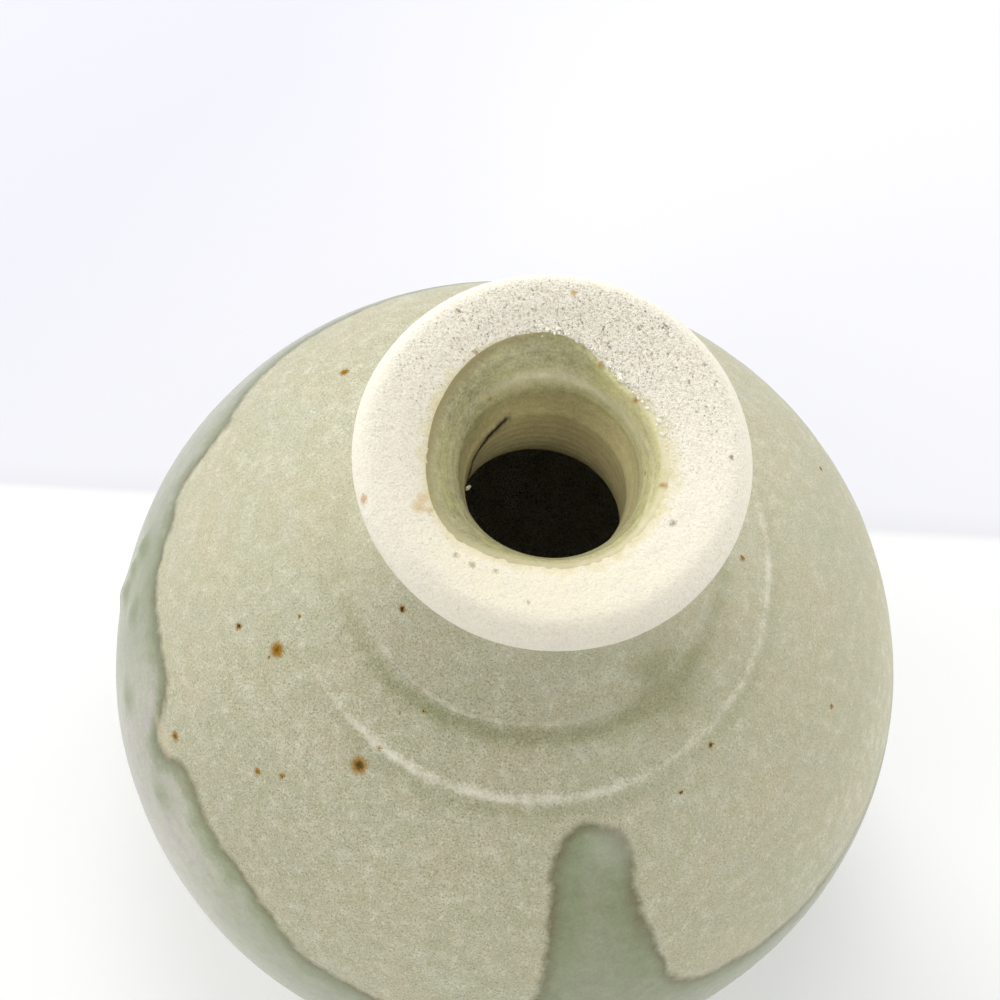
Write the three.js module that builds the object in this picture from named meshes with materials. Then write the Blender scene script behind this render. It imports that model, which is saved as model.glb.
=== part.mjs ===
// A stoneware bottle vase with a celadon glaze: a round body, a short neck and a thick, bare lip.
// The clay is thrown in sections that are joined with slip on flat faces, then dipped in glaze.
// Millimetres, +Z up, origin at the centre of the foot ring's resting face.

import * as THREE from "three";

// Heights. A rise is measured up from the belly, where the body is widest.
const footHeight = 7;
const bellyHeight = 80;
const shoulderRise = 65.5; // where the shoulder's curve would close
const neckRootRise = 59; // the flat face that the neck is joined on
const neckWaistRise = 80; // where the neck stops narrowing
const throatRise = 87; // the narrowest part of the bore
const lipUndersideRise = 92.5;
const lipEdgeRise = 100.4; // where the lip is widest
const lipRise = 104; // the top of the lip

// Radii of the clay.
const bellyRadius = 71.9;
const footOuterRadius = 35;
const neckRootRadius = 30;
const neckRadius = 19.5;
const neckTopRadius = 21;
const lipRadius = 30;
const mouthRadius = 18.4; // at the glaze line, where the bare lip turns down into the mouth
const lipBoreRadius = 14.2; // the bore at the lip's lower end
const throatRadius = 13;
const boreRootRadius = 22; // the bore at the neck's lower end, where it opens into the body

// Walls, coats and joints.
const bodyWall = 5.5;
const floorThickness = 7;
const slipThickness = 0.8;
const glazeThickness = 0.5;
const glazeGap = 0.1; // keeps the coat's solid off the clay's
const glazeFootMargin = 5; // bare clay between the foot ring and the glaze
const glazeLipMargin = 0.4; // between the glaze on the neck and the bare lip
const mouthGlazeDrop = 1.7; // from the top of the lip down to the glaze line in the mouth
const footWidth = 7.5; // the foot ring's wall
const footBevel = 1.5;

// Curves.
const bellyCurve = 2.2; // power of the curve from the belly down to the foot
const shoulderCurve = 1.94; // power of the curve from the belly up to the neck: 2 is an ellipse
const neckCurve = 2.4; // power of the neck's hollow
const shoulderRingRadius = 40.4; // the raised throwing ring on the shoulder
const shoulderRingHeight = 0.5;
const shoulderRingWidth = 2.4;
const lipUnderRounding = 7; // how far the lip's rounded edge reaches in from its rim on the underside
const lipTopRounding = 3.6; // and on the top
const dishCurve = 1.4; // power of the lip's dished top, from its crown in to the mouth
const mouthCurve = 1.6; // power of the mouth's flare
const boreCurve = 4; // power of the bore's flare into the body

// Facets.
const segments = 48;
const lowerSteps = 7;
const shoulderSteps = 7;
const neckSteps = 4;
const boreSteps = 4;
const mouthSteps = 4;
const lipSteps = 8;
const dishSteps = 4;

const clay = new THREE.MeshStandardMaterial({ color: 0xe4dcc8, roughness: 0.95, metalness: 0 });
const slip = new THREE.MeshStandardMaterial({ color: 0xd2c9b4, roughness: 0.95, metalness: 0 });
const glaze = new THREE.MeshStandardMaterial({ color: 0xb8b797, roughness: 0.35, metalness: 0 });

const neckRootHeight = bellyHeight + neckRootRise;
const neckFootHeight = neckRootHeight + slipThickness;
const lipUnderside = bellyHeight + lipUndersideRise;
const lipTop = bellyHeight + lipRise;

const point = (radius, height) => new THREE.Vector2(radius, height);

const evenly = (from, to, steps) =>
  Array.from({ length: steps + 1 }, (_, i) => from + ((to - from) * i) / steps);

const reversed = (points) => points.slice().reverse();

// The same curve moved by a distance to the right of its direction, which is outwards on an upward curve.
function shifted(points, distance) {
  const normalAfter = (i) => {
    const from = points[Math.min(Math.max(i, 0), points.length - 2)];
    const to = points[Math.min(Math.max(i, 0), points.length - 2) + 1];
    const along = to.clone().sub(from).normalize();
    return point(along.y, -along.x);
  };
  return points.map((p, i) => {
    const before = normalAfter(i - 1);
    const after = normalAfter(i);
    const mitre = before.clone().add(after).divideScalar(1 + before.dot(after));
    return p.clone().addScaledVector(mitre, distance);
  });
}

// A closed section revolved about +Z. Sections run out along the bottom, up the outside and down the inside.
function revolved(name, section, material) {
  const onAxis = section[0].x === 0;
  const profile = onAxis ? section : [...section, section[0].clone()];
  const geometry = new THREE.LatheGeometry(profile, segments);
  geometry.rotateX(Math.PI / 2);
  const mesh = new THREE.Mesh(geometry, material);
  mesh.name = name;
  return mesh;
}

// A flat washer between two heights.
function washer(name, inner, outer, low, high, material) {
  const section = [point(inner, low), point(outer, low), point(outer, high), point(inner, high)];
  return revolved(name, section, material);
}

// The radius of the lower body's outside at a height.
function lowerRadius(height) {
  const drop = (bellyHeight - height) / (bellyHeight - footHeight);
  return bellyRadius - (bellyRadius - footOuterRadius) * drop ** bellyCurve;
}

// A shoulder that closes at a rise above the belly, from its widest radius in to a smaller one.
function shoulder(widest, rise, endRadius, base) {
  const endAngle = Math.acos((endRadius / widest) ** (shoulderCurve / 2));
  return evenly(0, endAngle, shoulderSteps).map((angle) =>
    point(
      widest * Math.cos(angle) ** (2 / shoulderCurve),
      base + rise * Math.sin(angle) ** (2 / shoulderCurve),
    ),
  );
}

// The shoulder with the throwing ring let into it as three points.
function shoulderWithRing(points) {
  const before = points.filter((p) => p.x > shoulderRingRadius + shoulderRingWidth);
  const after = points.filter((p) => p.x < shoulderRingRadius - shoulderRingWidth);
  const from = before[before.length - 1];
  const to = after[0];
  const slope = (to.y - from.y) / (to.x - from.x);
  const onLine = (radius) => from.y + (radius - from.x) * slope;
  const ring = [
    point(shoulderRingRadius + shoulderRingWidth / 2, onLine(shoulderRingRadius + shoulderRingWidth / 2)),
    point(shoulderRingRadius, onLine(shoulderRingRadius) + shoulderRingHeight),
    point(shoulderRingRadius - shoulderRingWidth, onLine(shoulderRingRadius - shoulderRingWidth)),
  ];
  return [...before, ...ring, ...after];
}

// Clay outlines, each running upwards.
const upperFootHeight = bellyHeight + slipThickness;
const lowerOutside = evenly(footHeight, bellyHeight, lowerSteps).map((z) => point(lowerRadius(z), z));
const shoulderOutside = shoulderWithRing(
  shoulder(bellyRadius, shoulderRise - slipThickness, neckRootRadius, upperFootHeight),
);
shoulderOutside[shoulderOutside.length - 1].y = neckRootHeight;

const neckOutside = evenly(0, 1, neckSteps).map((share) =>
  point(
    neckRadius + (neckRootRadius - neckRadius) * (1 - share) ** neckCurve,
    neckFootHeight + (bellyHeight + neckWaistRise - neckFootHeight) * share,
  ),
);
neckOutside.push(point(neckTopRadius, lipUnderside));

// The bore, running upwards from the body's cavity to the mouth.
const throatHeight = bellyHeight + throatRise;
const neckBore = [
  ...evenly(0, 1, boreSteps).map((share) =>
    point(
      throatRadius + (boreRootRadius - throatRadius) * (1 - share) ** boreCurve,
      neckFootHeight + (throatHeight - neckFootHeight) * share,
    ),
  ),
  point(lipBoreRadius, lipUnderside),
];
const mouthBore = evenly(0, 1, mouthSteps).map((share) =>
  point(
    lipBoreRadius + (mouthRadius - lipBoreRadius) * share ** mouthCurve,
    lipUnderside + (lipTop - mouthGlazeDrop - lipUnderside) * share,
  ),
);

// The lip's rounded edge, from under it, round its rim, to the crown: two quarter ellipses.
const lipEdgeHeight = bellyHeight + lipEdgeRise;
const lipCrownRadius = lipRadius - lipTopRounding;
const lipEdge = evenly(-Math.PI / 2, Math.PI / 2, lipSteps).map((angle) => {
  const across = angle < 0 ? lipUnderRounding : lipTopRounding;
  const upright = angle < 0 ? lipEdgeHeight - lipUnderside : lipTop - lipEdgeHeight;
  return point(lipRadius - across * (1 - Math.cos(angle)), lipEdgeHeight + upright * Math.sin(angle));
});

// The dished top, from the crown in and down to the glaze line.
const dish = evenly(0, 1, dishSteps).map((share) =>
  point(lipCrownRadius - (lipCrownRadius - mouthRadius) * share, lipTop - mouthGlazeDrop * share ** dishCurve),
);

function footRing() {
  const footInnerRadius = footOuterRadius - footWidth;
  return revolved(
    "foot_ring",
    [
      point(footInnerRadius + footBevel, 0),
      point(footOuterRadius - footBevel, 0),
      point(footOuterRadius, footBevel),
      point(footOuterRadius, footHeight),
      point(footInnerRadius, footHeight),
      point(footInnerRadius, footBevel),
    ],
    clay,
  );
}

function lowerBody() {
  const floorTop = footHeight + floorThickness;
  const inside = shifted(lowerOutside, -bodyWall).filter((p) => p.y > floorTop);
  inside[inside.length - 1] = point(bellyRadius - bodyWall, bellyHeight);
  const floorRadius = inside[0].x - bodyWall;
  return revolved(
    "lower_body",
    [point(0, footHeight), ...lowerOutside, ...reversed(inside), point(floorRadius, floorTop), point(0, floorTop)],
    clay,
  );
}

function upperBody() {
  const inside = shoulder(
    bellyRadius - bodyWall,
    shoulderRise - slipThickness - bodyWall,
    boreRootRadius,
    upperFootHeight,
  );
  return revolved(
    "upper_body",
    [...shoulderOutside, point(boreRootRadius, neckRootHeight), ...reversed(inside)],
    clay,
  );
}

function neck() {
  return revolved("neck", [...neckOutside, ...reversed(neckBore)], clay);
}

function mouthLip() {
  const outside = [point(neckTopRadius, lipUnderside), ...lipEdge, ...dish.slice(1, -1)];
  return revolved("mouth_lip", [...outside, ...reversed(mouthBore)], clay);
}

// A coat of glaze over an outline that runs upwards, on its right where the side is 1 and on its left where it is -1.
function glazeCoat(name, outline, side) {
  const under = shifted(outline, side * glazeGap);
  const over = shifted(outline, side * (glazeGap + glazeThickness));
  const section = side > 0 ? [...over, ...reversed(under)] : [...under, ...reversed(over)];
  return revolved(name, section, glaze);
}

function outerGlaze() {
  const start = footHeight + glazeFootMargin;
  const lower = lowerOutside.filter((p) => p.y > start);
  const top = point(neckTopRadius, lipUnderside - glazeLipMargin);
  return glazeCoat(
    "outer_glaze",
    [point(lowerRadius(start), start), ...lower, ...shoulderOutside, ...neckOutside.slice(0, -1), top],
    1,
  );
}

function mouthGlaze() {
  return glazeCoat("mouth_glaze", [...neckBore.slice(1, -1), ...mouthBore], -1);
}

const vase = new THREE.Group();
vase.add(
  footRing(),
  lowerBody(),
  washer("body_seam_slip", bellyRadius - bodyWall, bellyRadius, bellyHeight, upperFootHeight, slip),
  upperBody(),
  washer("neck_seam_slip", boreRootRadius, neckRootRadius, neckRootHeight, neckFootHeight, slip),
  neck(),
  mouthLip(),
  outerGlaze(),
  mouthGlaze(),
);

export default vase;
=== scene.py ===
import math
import bpy
import numpy as np
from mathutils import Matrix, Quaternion, Vector


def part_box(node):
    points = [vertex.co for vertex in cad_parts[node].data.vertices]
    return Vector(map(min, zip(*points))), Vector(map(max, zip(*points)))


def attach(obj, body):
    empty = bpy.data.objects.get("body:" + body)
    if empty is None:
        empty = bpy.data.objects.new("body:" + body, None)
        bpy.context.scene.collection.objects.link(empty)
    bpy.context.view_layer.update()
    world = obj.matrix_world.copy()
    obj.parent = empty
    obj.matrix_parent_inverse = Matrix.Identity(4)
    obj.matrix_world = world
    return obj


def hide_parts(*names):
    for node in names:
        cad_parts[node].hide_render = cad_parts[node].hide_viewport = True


# A round stoneware bottle with a thick bare lip, dipped in a grey-green ash celadon.
# Sizes are millimetres and degrees. Azimuth 0 faces the camera and grows to the viewer's right.

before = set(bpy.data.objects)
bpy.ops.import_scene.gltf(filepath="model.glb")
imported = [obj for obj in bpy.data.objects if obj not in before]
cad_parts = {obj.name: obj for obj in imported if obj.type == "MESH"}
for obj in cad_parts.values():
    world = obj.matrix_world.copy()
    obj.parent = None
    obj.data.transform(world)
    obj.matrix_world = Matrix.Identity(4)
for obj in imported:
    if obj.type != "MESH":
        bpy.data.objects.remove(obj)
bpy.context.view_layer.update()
mm = 0.001
print("frame loaded")


def lowest(node):
    return [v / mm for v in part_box(node)[0]]


def highest(node):
    return [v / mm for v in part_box(node)[1]]


pot = dict(
    footTop=highest("foot_ring")[2],
    footRadius=highest("foot_ring")[0],
    footWidth=7.5,
    footBevel=1.5,
    floor=14.0,  # height of the floor's upper side
    wall=5.5,
    belly=highest("lower_body")[2],  # where the body is widest
    bellyRadius=highest("lower_body")[0],
    bellyPower=2.2,
    shoulderRise=65.5,
    shoulderPower=1.94,
    neckRoot=highest("neck_seam_slip")[2],
    neckRootRadius=highest("neck_seam_slip")[0],
    neckWaist=160.0,
    neckRadius=19.5,
    neckTopRadius=21.0,
    neckPower=2.4,
    throat=167.0,  # the narrowest part of the bore
    throatRadius=13.0,
    boreRootRadius=22.0,
    borePower=4.0,
    lipUnder=lowest("mouth_lip")[2],
    lipEdge=180.4,  # where the lip is widest
    lipTop=highest("mouth_lip")[2],
    lipRadius=highest("mouth_lip")[0],
    lipUnderRounding=7.0,  # how far the rounded edge reaches in, below and above
    lipTopRounding=3.6,
    lipBoreRadius=14.2,
    mouthRadius=18.4,  # where the lip's dished top turns down into the mouth
    mouthDrop=1.7,
    mouthPower=1.6,
    dishPower=1.4,
    coat=0.6,  # from the clay to the outside of the glaze
)
mouthHeight = pot["lipTop"] - pot["mouthDrop"]
crownRadius = pot["lipRadius"] - pot["lipTopRounding"]


# Small tools

def linear(hexColour):
    parts = [int(hexColour[i:i + 2], 16) / 255 for i in (0, 2, 4)]
    return tuple(c / 12.92 if c <= 0.04045 else ((c + 0.055) / 1.055) ** 2.4 for c in parts) + (1.0,)


def add(tree, kind, inputs=None, **settings):
    # One node with its settings. An input is a value, a socket, or a node whose first output feeds it.
    node = tree.nodes.new(kind)
    for name, value in settings.items():
        setattr(node, name, value)
    for key, value in (inputs or {}).items():
        if isinstance(key, int):
            socket = node.inputs[key]
        else:
            socket = next(s for s in node.inputs if s.name == key and s.enabled)
        if isinstance(value, bpy.types.Node):
            value = next(s for s in value.outputs if s.enabled)
        if isinstance(value, bpy.types.NodeSocket):
            tree.links.new(value, socket)
        else:
            socket.default_value = value
    return node


def placed(name, data):
    made = bpy.data.objects.new(name, data)
    bpy.context.scene.collection.objects.link(made)
    return made


def smoothstep(low, high, x):
    t = np.clip((x - low) / (high - low), 0, 1)
    return t * t * (3 - 2 * t)


def bump(x, centre, width):
    return np.exp(-((x - centre) / width) ** 2)


def apart(azimuth, centre):
    # degrees from one azimuth to another, the short way round
    return (azimuth - centre + 180) % 360 - 180


def around(azimuth, pairs, soft=1.5):
    # Values round the pot from a few (azimuth, value) pairs, softened over a degree or two
    turn = np.arange(0, 360, 0.25)
    values = np.interp(turn, *np.array(pairs, float).T, period=360)
    weights = np.exp(-0.5 * (apart(turn, 0) / soft) ** 2)
    values = np.fft.irfft(np.fft.rfft(values) * np.fft.rfft(weights / weights.sum()), len(turn))
    return np.interp(azimuth, turn, values, period=360)


def toLine(azimuth, radius, height, points):
    # mm from each place to a line through (azimuth, height) points, on the surface rolled out flat
    nearest = np.full(len(azimuth), 99.0)
    for (a, z), (b, y) in zip(points, points[1:]):
        across, rise = (b - a) * np.radians(radius), y - z
        x, up = apart(azimuth, a) * np.radians(radius), height - z
        share = np.clip((x * across + up * rise) / (across ** 2 + rise ** 2), 0, 1)
        nearest = np.minimum(nearest, np.hypot(x - share * across, up - share * rise))
    return nearest


def waves(azimuth, seed, turns):
    # A closed, irregular wave between about -1 and 1, for runs and uneven edges.
    random = np.random.default_rng(seed)
    total = 0
    for n in turns:
        phase = random.uniform(0, math.tau)
        total = total + np.sin(np.radians(azimuth) * n + phase) * random.uniform(0.6, 1)
    return total / math.sqrt(len(turns))


# Outlines of the clay, as arrays of (radius, height)

def along(points):
    return np.concatenate([[0], np.cumsum(np.hypot(*np.diff(points, axis=0).T))])


def resampled(points, spacing):
    # spacing: one distance, or a function of radius and height that gives it
    run = along(points)
    places = [0.0]
    while places[-1] < run[-1]:
        here = [np.interp(places[-1], run, points[:, k]) for k in (0, 1)]
        places.append(places[-1] + (spacing(*here) if callable(spacing) else spacing))
    places = np.array(places) * run[-1] / places[-1]
    return np.column_stack([np.interp(places, run, points[:, k]) for k in (0, 1)])


def softened(points, radius):
    # Rounds an outline's corners over about that many millimetres and keeps its ends.
    fine = resampled(points, 0.1)
    reach = int(radius * 30)
    kernel = np.exp(-0.5 * (np.arange(-reach, reach + 1) * 0.1 / radius) ** 2)
    kernel /= kernel.sum()
    padded = np.vstack([2 * fine[0] - fine[reach:0:-1], fine, 2 * fine[-1] - fine[-2:-reach - 2:-1]])
    return np.column_stack([np.convolve(padded[:, k], kernel, "valid") for k in (0, 1)])


def outwards(points):
    # The right-hand side of the direction of travel, which is outwards on an outline that runs upwards.
    travel = np.gradient(points, axis=0)
    travel /= np.linalg.norm(travel, axis=1)[:, None]
    return np.column_stack([travel[:, 1], -travel[:, 0]])


def bodyOutline():
    # Upwards, from the foot ring over the belly and the shoulder to the underside of the lip.
    z = np.linspace(pot["footTop"], pot["belly"], 300)
    drop = (pot["belly"] - z) / (pot["belly"] - pot["footTop"])
    narrowing = pot["bellyRadius"] - pot["footRadius"]
    lower = np.column_stack([pot["bellyRadius"] - narrowing * drop ** pot["bellyPower"], z])
    power = 2 / pot["shoulderPower"]
    end = math.acos((pot["neckRootRadius"] / pot["bellyRadius"]) ** (1 / power))
    a = np.linspace(0, end, 400)[1:]
    upper = np.column_stack([
        pot["bellyRadius"] * np.cos(a) ** power,
        pot["belly"] + pot["shoulderRise"] * np.sin(a) ** power,
    ])
    s = np.linspace(0, 1, 160)[1:]
    neck = np.column_stack([
        pot["neckRadius"] + (pot["neckRootRadius"] - pot["neckRadius"]) * (1 - s) ** pot["neckPower"],
        pot["neckRoot"] + (pot["neckWaist"] - pot["neckRoot"]) * s,
    ])
    return softened(np.vstack([lower, upper, neck, [[pot["neckTopRadius"], pot["lipUnder"]]]]), 0.9)


def lipOutline():
    # From the lip's underside round its edge and over the dished top, then down the mouth and the throat.
    a = np.linspace(-math.pi / 2, math.pi / 2, 300)
    across = np.where(a < 0, pot["lipUnderRounding"], pot["lipTopRounding"])
    upright = np.where(a < 0, pot["lipEdge"] - pot["lipUnder"], pot["lipTop"] - pot["lipEdge"])
    edge = np.column_stack([pot["lipRadius"] - across * (1 - np.cos(a)),
                            pot["lipEdge"] + upright * np.sin(a)])
    s = np.linspace(0, 1, 80)[1:]
    dish = np.column_stack([
        crownRadius - (crownRadius - pot["mouthRadius"]) * s,
        pot["lipTop"] - pot["mouthDrop"] * s ** pot["dishPower"],
    ])
    s = np.linspace(1, 0, 200)[1:]
    funnel = np.column_stack([
        pot["lipBoreRadius"] + (pot["mouthRadius"] - pot["lipBoreRadius"]) * s ** pot["mouthPower"],
        pot["lipUnder"] + (mouthHeight - pot["lipUnder"]) * s,
    ])
    bore = np.column_stack([
        pot["throatRadius"] + (pot["boreRootRadius"] - pot["throatRadius"]) * (1 - s) ** pot["borePower"],
        pot["neckRoot"] + (pot["throat"] - pot["neckRoot"]) * s,
    ])
    return softened(np.vstack([edge, dish, funnel, bore]), 0.4)


# The wheel: a section turned round the axis, with the marks that throwing leaves

def wheelTree():
    tree = bpy.data.node_groups.new("turned on the wheel", "GeometryNodeTree")
    for name, kind, value in (
        ("Section", "Geometry", None),
        ("Columns", "Int", 96),
        ("Ring Spacing", "Float", 3.0),
        ("Ring Depth", "Float", 0.0),
        ("Wobble Size", "Float", 40.0),
        ("Wobble", "Float", 0.0),
        ("Grit Size", "Float", 1.0),
        ("Grit Height", "Float", 0.0),
        ("Seed", "Float", 1.0),
        ("Finish", "Material", None),
    ):
        socket = tree.interface.new_socket(name, in_out="INPUT", socket_type="NodeSocket" + kind)
        if value is not None:
            socket.default_value = value
    tree.interface.new_socket("Piece", in_out="OUTPUT", socket_type="NodeSocketGeometry")
    given = add(tree, "NodeGroupInput").outputs

    rows = add(tree, "GeometryNodeAttributeDomainSize", {0: given["Section"]},
               component="MESH").outputs["Point Count"]
    columns = add(tree, "FunctionNodeIntegerMath", {0: given["Columns"], 1: 1}, operation="ADD")
    grid = add(tree, "GeometryNodeMeshGrid", {"Vertices X": columns, "Vertices Y": rows})
    index = add(tree, "GeometryNodeInputIndex")
    row = add(tree, "FunctionNodeIntegerMath", {0: index, 1: rows}, operation="MODULO")
    column = add(tree, "FunctionNodeIntegerMath", {0: index, 1: rows}, operation="DIVIDE_FLOOR")
    turn = add(tree, "ShaderNodeMath", {0: column, 1: given["Columns"]}, operation="DIVIDE")
    angle = add(tree, "ShaderNodeMath", {0: turn, 1: math.tau, 2: -math.pi / 2}, operation="MULTIPLY_ADD")

    # Each point of the grid takes what its row's point of the section holds, turned to its column.
    taken = {}
    for name, kind in (("position", "FLOAT_VECTOR"), ("outward", "FLOAT_VECTOR"), ("arc", "FLOAT"),
                       ("skin", "FLOAT")):
        held = add(tree, "GeometryNodeInputNamedAttribute", {"Name": name}, data_type=kind)
        inputs = {"Geometry": given["Section"], "Value": held, "Index": row}
        taken[name] = add(tree, "GeometryNodeSampleIndex", inputs, data_type=kind)
        if kind == "FLOAT_VECTOR":
            inputs = {"Vector": taken[name], "Axis": (0, 0, 1), "Angle": angle}
            taken[name] = add(tree, "ShaderNodeVectorRotate", inputs, rotation_type="AXIS_ANGLE")

    # One turn of the wheel lifts the finger by one ring, so the rings are a spiral.
    ring = add(tree, "ShaderNodeMath", {0: taken["arc"], 1: given["Ring Spacing"]}, operation="DIVIDE")
    ring = add(tree, "ShaderNodeMath", {0: ring, 1: turn}, operation="SUBTRACT")
    ring = add(tree, "ShaderNodeMath", {0: ring, 1: math.tau}, operation="MULTIPLY")
    ring = add(tree, "ShaderNodeMath", {0: ring}, operation="SINE")
    lift = add(tree, "ShaderNodeMath", {0: ring, 1: given["Ring Depth"]}, operation="MULTIPLY")
    for size, height, detail in (("Wobble Size", "Wobble", 1.0), ("Grit Size", "Grit Height", 2.0)):
        scale = add(tree, "ShaderNodeMath", {0: 1 / mm, 1: given[size]}, operation="DIVIDE")
        inputs = {"Vector": taken["position"], "W": given["Seed"], "Scale": scale, "Detail": detail,
                  "Roughness": 0.6}
        cloud = add(tree, "ShaderNodeTexNoise", inputs, noise_dimensions="4D")
        cloud = add(tree, "ShaderNodeMath", {0: cloud, 1: 0.5}, operation="SUBTRACT")
        lift = add(tree, "ShaderNodeMath", {0: cloud, 1: given[height], 2: lift}, operation="MULTIPLY_ADD")
    lift = add(tree, "ShaderNodeMath", {0: lift, 1: taken["skin"]}, operation="MULTIPLY")
    lift = add(tree, "ShaderNodeMath", {0: lift, 1: mm}, operation="MULTIPLY")
    offset = add(tree, "ShaderNodeVectorMath", {0: taken["outward"], "Scale": lift}, operation="SCALE")
    place = add(tree, "ShaderNodeVectorMath", {0: taken["position"], 1: offset}, operation="ADD")

    shape = grid
    kept = (("skin", "FLOAT", taken["skin"]), ("outward", "FLOAT_VECTOR", taken["outward"]),
            ("drawn", "FLOAT_VECTOR", taken["position"]))
    for name, kind, value in kept:
        inputs = {"Geometry": shape, "Name": name, "Value": value}
        shape = add(tree, "GeometryNodeStoreNamedAttribute", inputs, data_type=kind, domain="POINT")
    shape = add(tree, "GeometryNodeSetPosition", {"Geometry": shape, "Position": place})
    shape = add(tree, "GeometryNodeMergeByDistance", {"Geometry": shape, "Distance": 0.002 * mm})
    shape = add(tree, "GeometryNodeSetShadeSmooth", {"Geometry": shape, "Shade Smooth": True})
    shape = add(tree, "GeometryNodeRealizeInstances", {"Geometry": shape})
    shape = add(tree, "GeometryNodeSetMaterial", {"Geometry": shape, "Material": given["Finish"]})
    add(tree, "NodeGroupOutput", {0: shape})
    return tree


def finished(piece, tree, values):
    # Sets the tree's inputs, then keeps its result as a plain mesh.
    modifier = piece.modifiers.new(tree.name, "NODES")
    modifier.node_group = tree
    sockets = {s.name: s.identifier for s in tree.interface.items_tree if s.in_out == "INPUT"}
    for label, value in values.items():
        modifier[sockets[label]] = value
    mesh = bpy.data.meshes.new_from_object(piece.evaluated_get(bpy.context.evaluated_depsgraph_get()))
    piece.modifiers.clear()
    piece.data = mesh
    mesh.name = piece.name


def thrown(name, stretches, marks):
    # stretches: (points, outward, skin) that make one section, closed on itself or from axis to axis
    points = np.vstack([s[0] for s in stretches])
    outward = np.vstack([s[1] for s in stretches])
    skin = np.concatenate([np.broadcast_to(s[2], len(s[0])) for s in stretches])
    keep = np.concatenate([[True], np.hypot(*np.diff(points, axis=0).T) > 0.01])
    points, outward, skin = points[keep], outward[keep], skin[keep]
    if points[0][0] > 0.001:
        points = np.vstack([points, points[:1]])
        outward = np.vstack([outward, outward[:1]])
        skin = np.append(skin, skin[0])
    mesh = bpy.data.meshes.new(name)
    edges = [(i, i + 1) for i in range(len(points) - 1)]
    mesh.from_pydata([(r * mm, 0, z * mm) for r, z in points], edges, [])
    vectors = np.column_stack([outward[:, 0], np.zeros(len(points)), outward[:, 1]])
    mesh.attributes.new("outward", "FLOAT_VECTOR", "POINT").data.foreach_set("vector", vectors.ravel())
    mesh.attributes.new("arc", "FLOAT", "POINT").data.foreach_set("value", along(points))
    mesh.attributes.new("skin", "FLOAT", "POINT").data.foreach_set("value", skin)
    piece = placed(name, mesh)
    finished(piece, wheel, marks)
    return piece


def plain(*points):
    # A stretch of straight lines that the wheel leaves no marks on.
    points = np.array(points, float)
    return points, np.zeros_like(points), 0.0


def read(piece, name):
    # A number at each point of the mesh
    values = np.empty(len(piece.data.vertices), np.float32)
    piece.data.attributes[name].data.foreach_get("value", values)
    return values.astype(float)


def readVectors(piece, name):
    values = np.empty(len(piece.data.vertices) * 3, np.float32)
    piece.data.attributes[name].data.foreach_get("vector", values)
    return values.reshape(-1, 3).astype(float)


def painted(piece, name, values):
    values = np.asarray(values, np.float32)
    piece.data.attributes.new(name, "FLOAT", "POINT").data.foreach_set("value", values)


def drawn(piece, skinHeight=0.0):
    # Where each point was before the wheel's marks and that much of its skin: azimuth, radius and height
    where = readVectors(piece, "drawn") / mm - readVectors(piece, "outward") * skinHeight
    azimuth = np.degrees(np.arctan2(where[:, 0], -where[:, 1])) % 360
    return azimuth, np.hypot(where[:, 0], where[:, 1]), where[:, 2]


def lifted(piece, distance, spread=0.0):
    # Moves the skin outwards and everything away from the axis, in mm, turns the faces out and drops what
    # only the making needed.
    mesh = piece.data
    moved = readVectors(piece, "position") / mm
    level = moved * (1, 1, 0)
    moved += readVectors(piece, "outward") * (distance * read(piece, "skin"))[:, None]
    moved += level / np.maximum(np.linalg.norm(level, axis=1), 0.001)[:, None] * np.reshape(spread, (-1, 1))
    mesh.vertices.foreach_set("co", (moved * mm).ravel().astype(np.float32))
    mesh.update()
    mesh.calc_loop_triangles()
    triangles = np.empty(len(mesh.loop_triangles) * 3, np.int32)
    mesh.loop_triangles.foreach_get("vertices", triangles)
    a, b, c = moved[triangles.reshape(-1, 3)].transpose(1, 0, 2)
    if np.einsum("ij,ij->i", a, np.cross(b, c)).sum() < 0:
        mesh.flip_normals()
    for name in ("outward", "drawn", "skin"):
        mesh.attributes.remove(mesh.attributes[name])


wheel = wheelTree()
bodyLine = bodyOutline()
bodyRun = along(bodyLine)
lipLine = lipOutline()
crownPoint = int(np.argmax(lipLine[:, 1]))
mouthLine = lipLine[crownPoint:][::-1]  # upwards, from the body's cavity to the crown of the lip
mouthRun = along(mouthLine)


def onBody(azimuth, radius):
    # The place on the shoulder at an azimuth and a radius
    upper = bodyLine[bodyLine[:, 1] > pot["belly"]][::-1]
    z = np.interp(radius, upper[:, 0], upper[:, 1])
    a = math.radians(azimuth)
    return radius * math.sin(a), -radius * math.cos(a), z + pot["coat"]


def onLip(azimuth, radius):
    top = lipLine[(lipLine[:, 1] > pot["lipUnder"] + 7) & (lipLine[:, 0] > 14)][::-1]
    z = np.interp(radius, top[:, 0], top[:, 1])
    a = math.radians(azimuth)
    return radius * math.sin(a), -radius * math.cos(a), z


# Finishes

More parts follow.
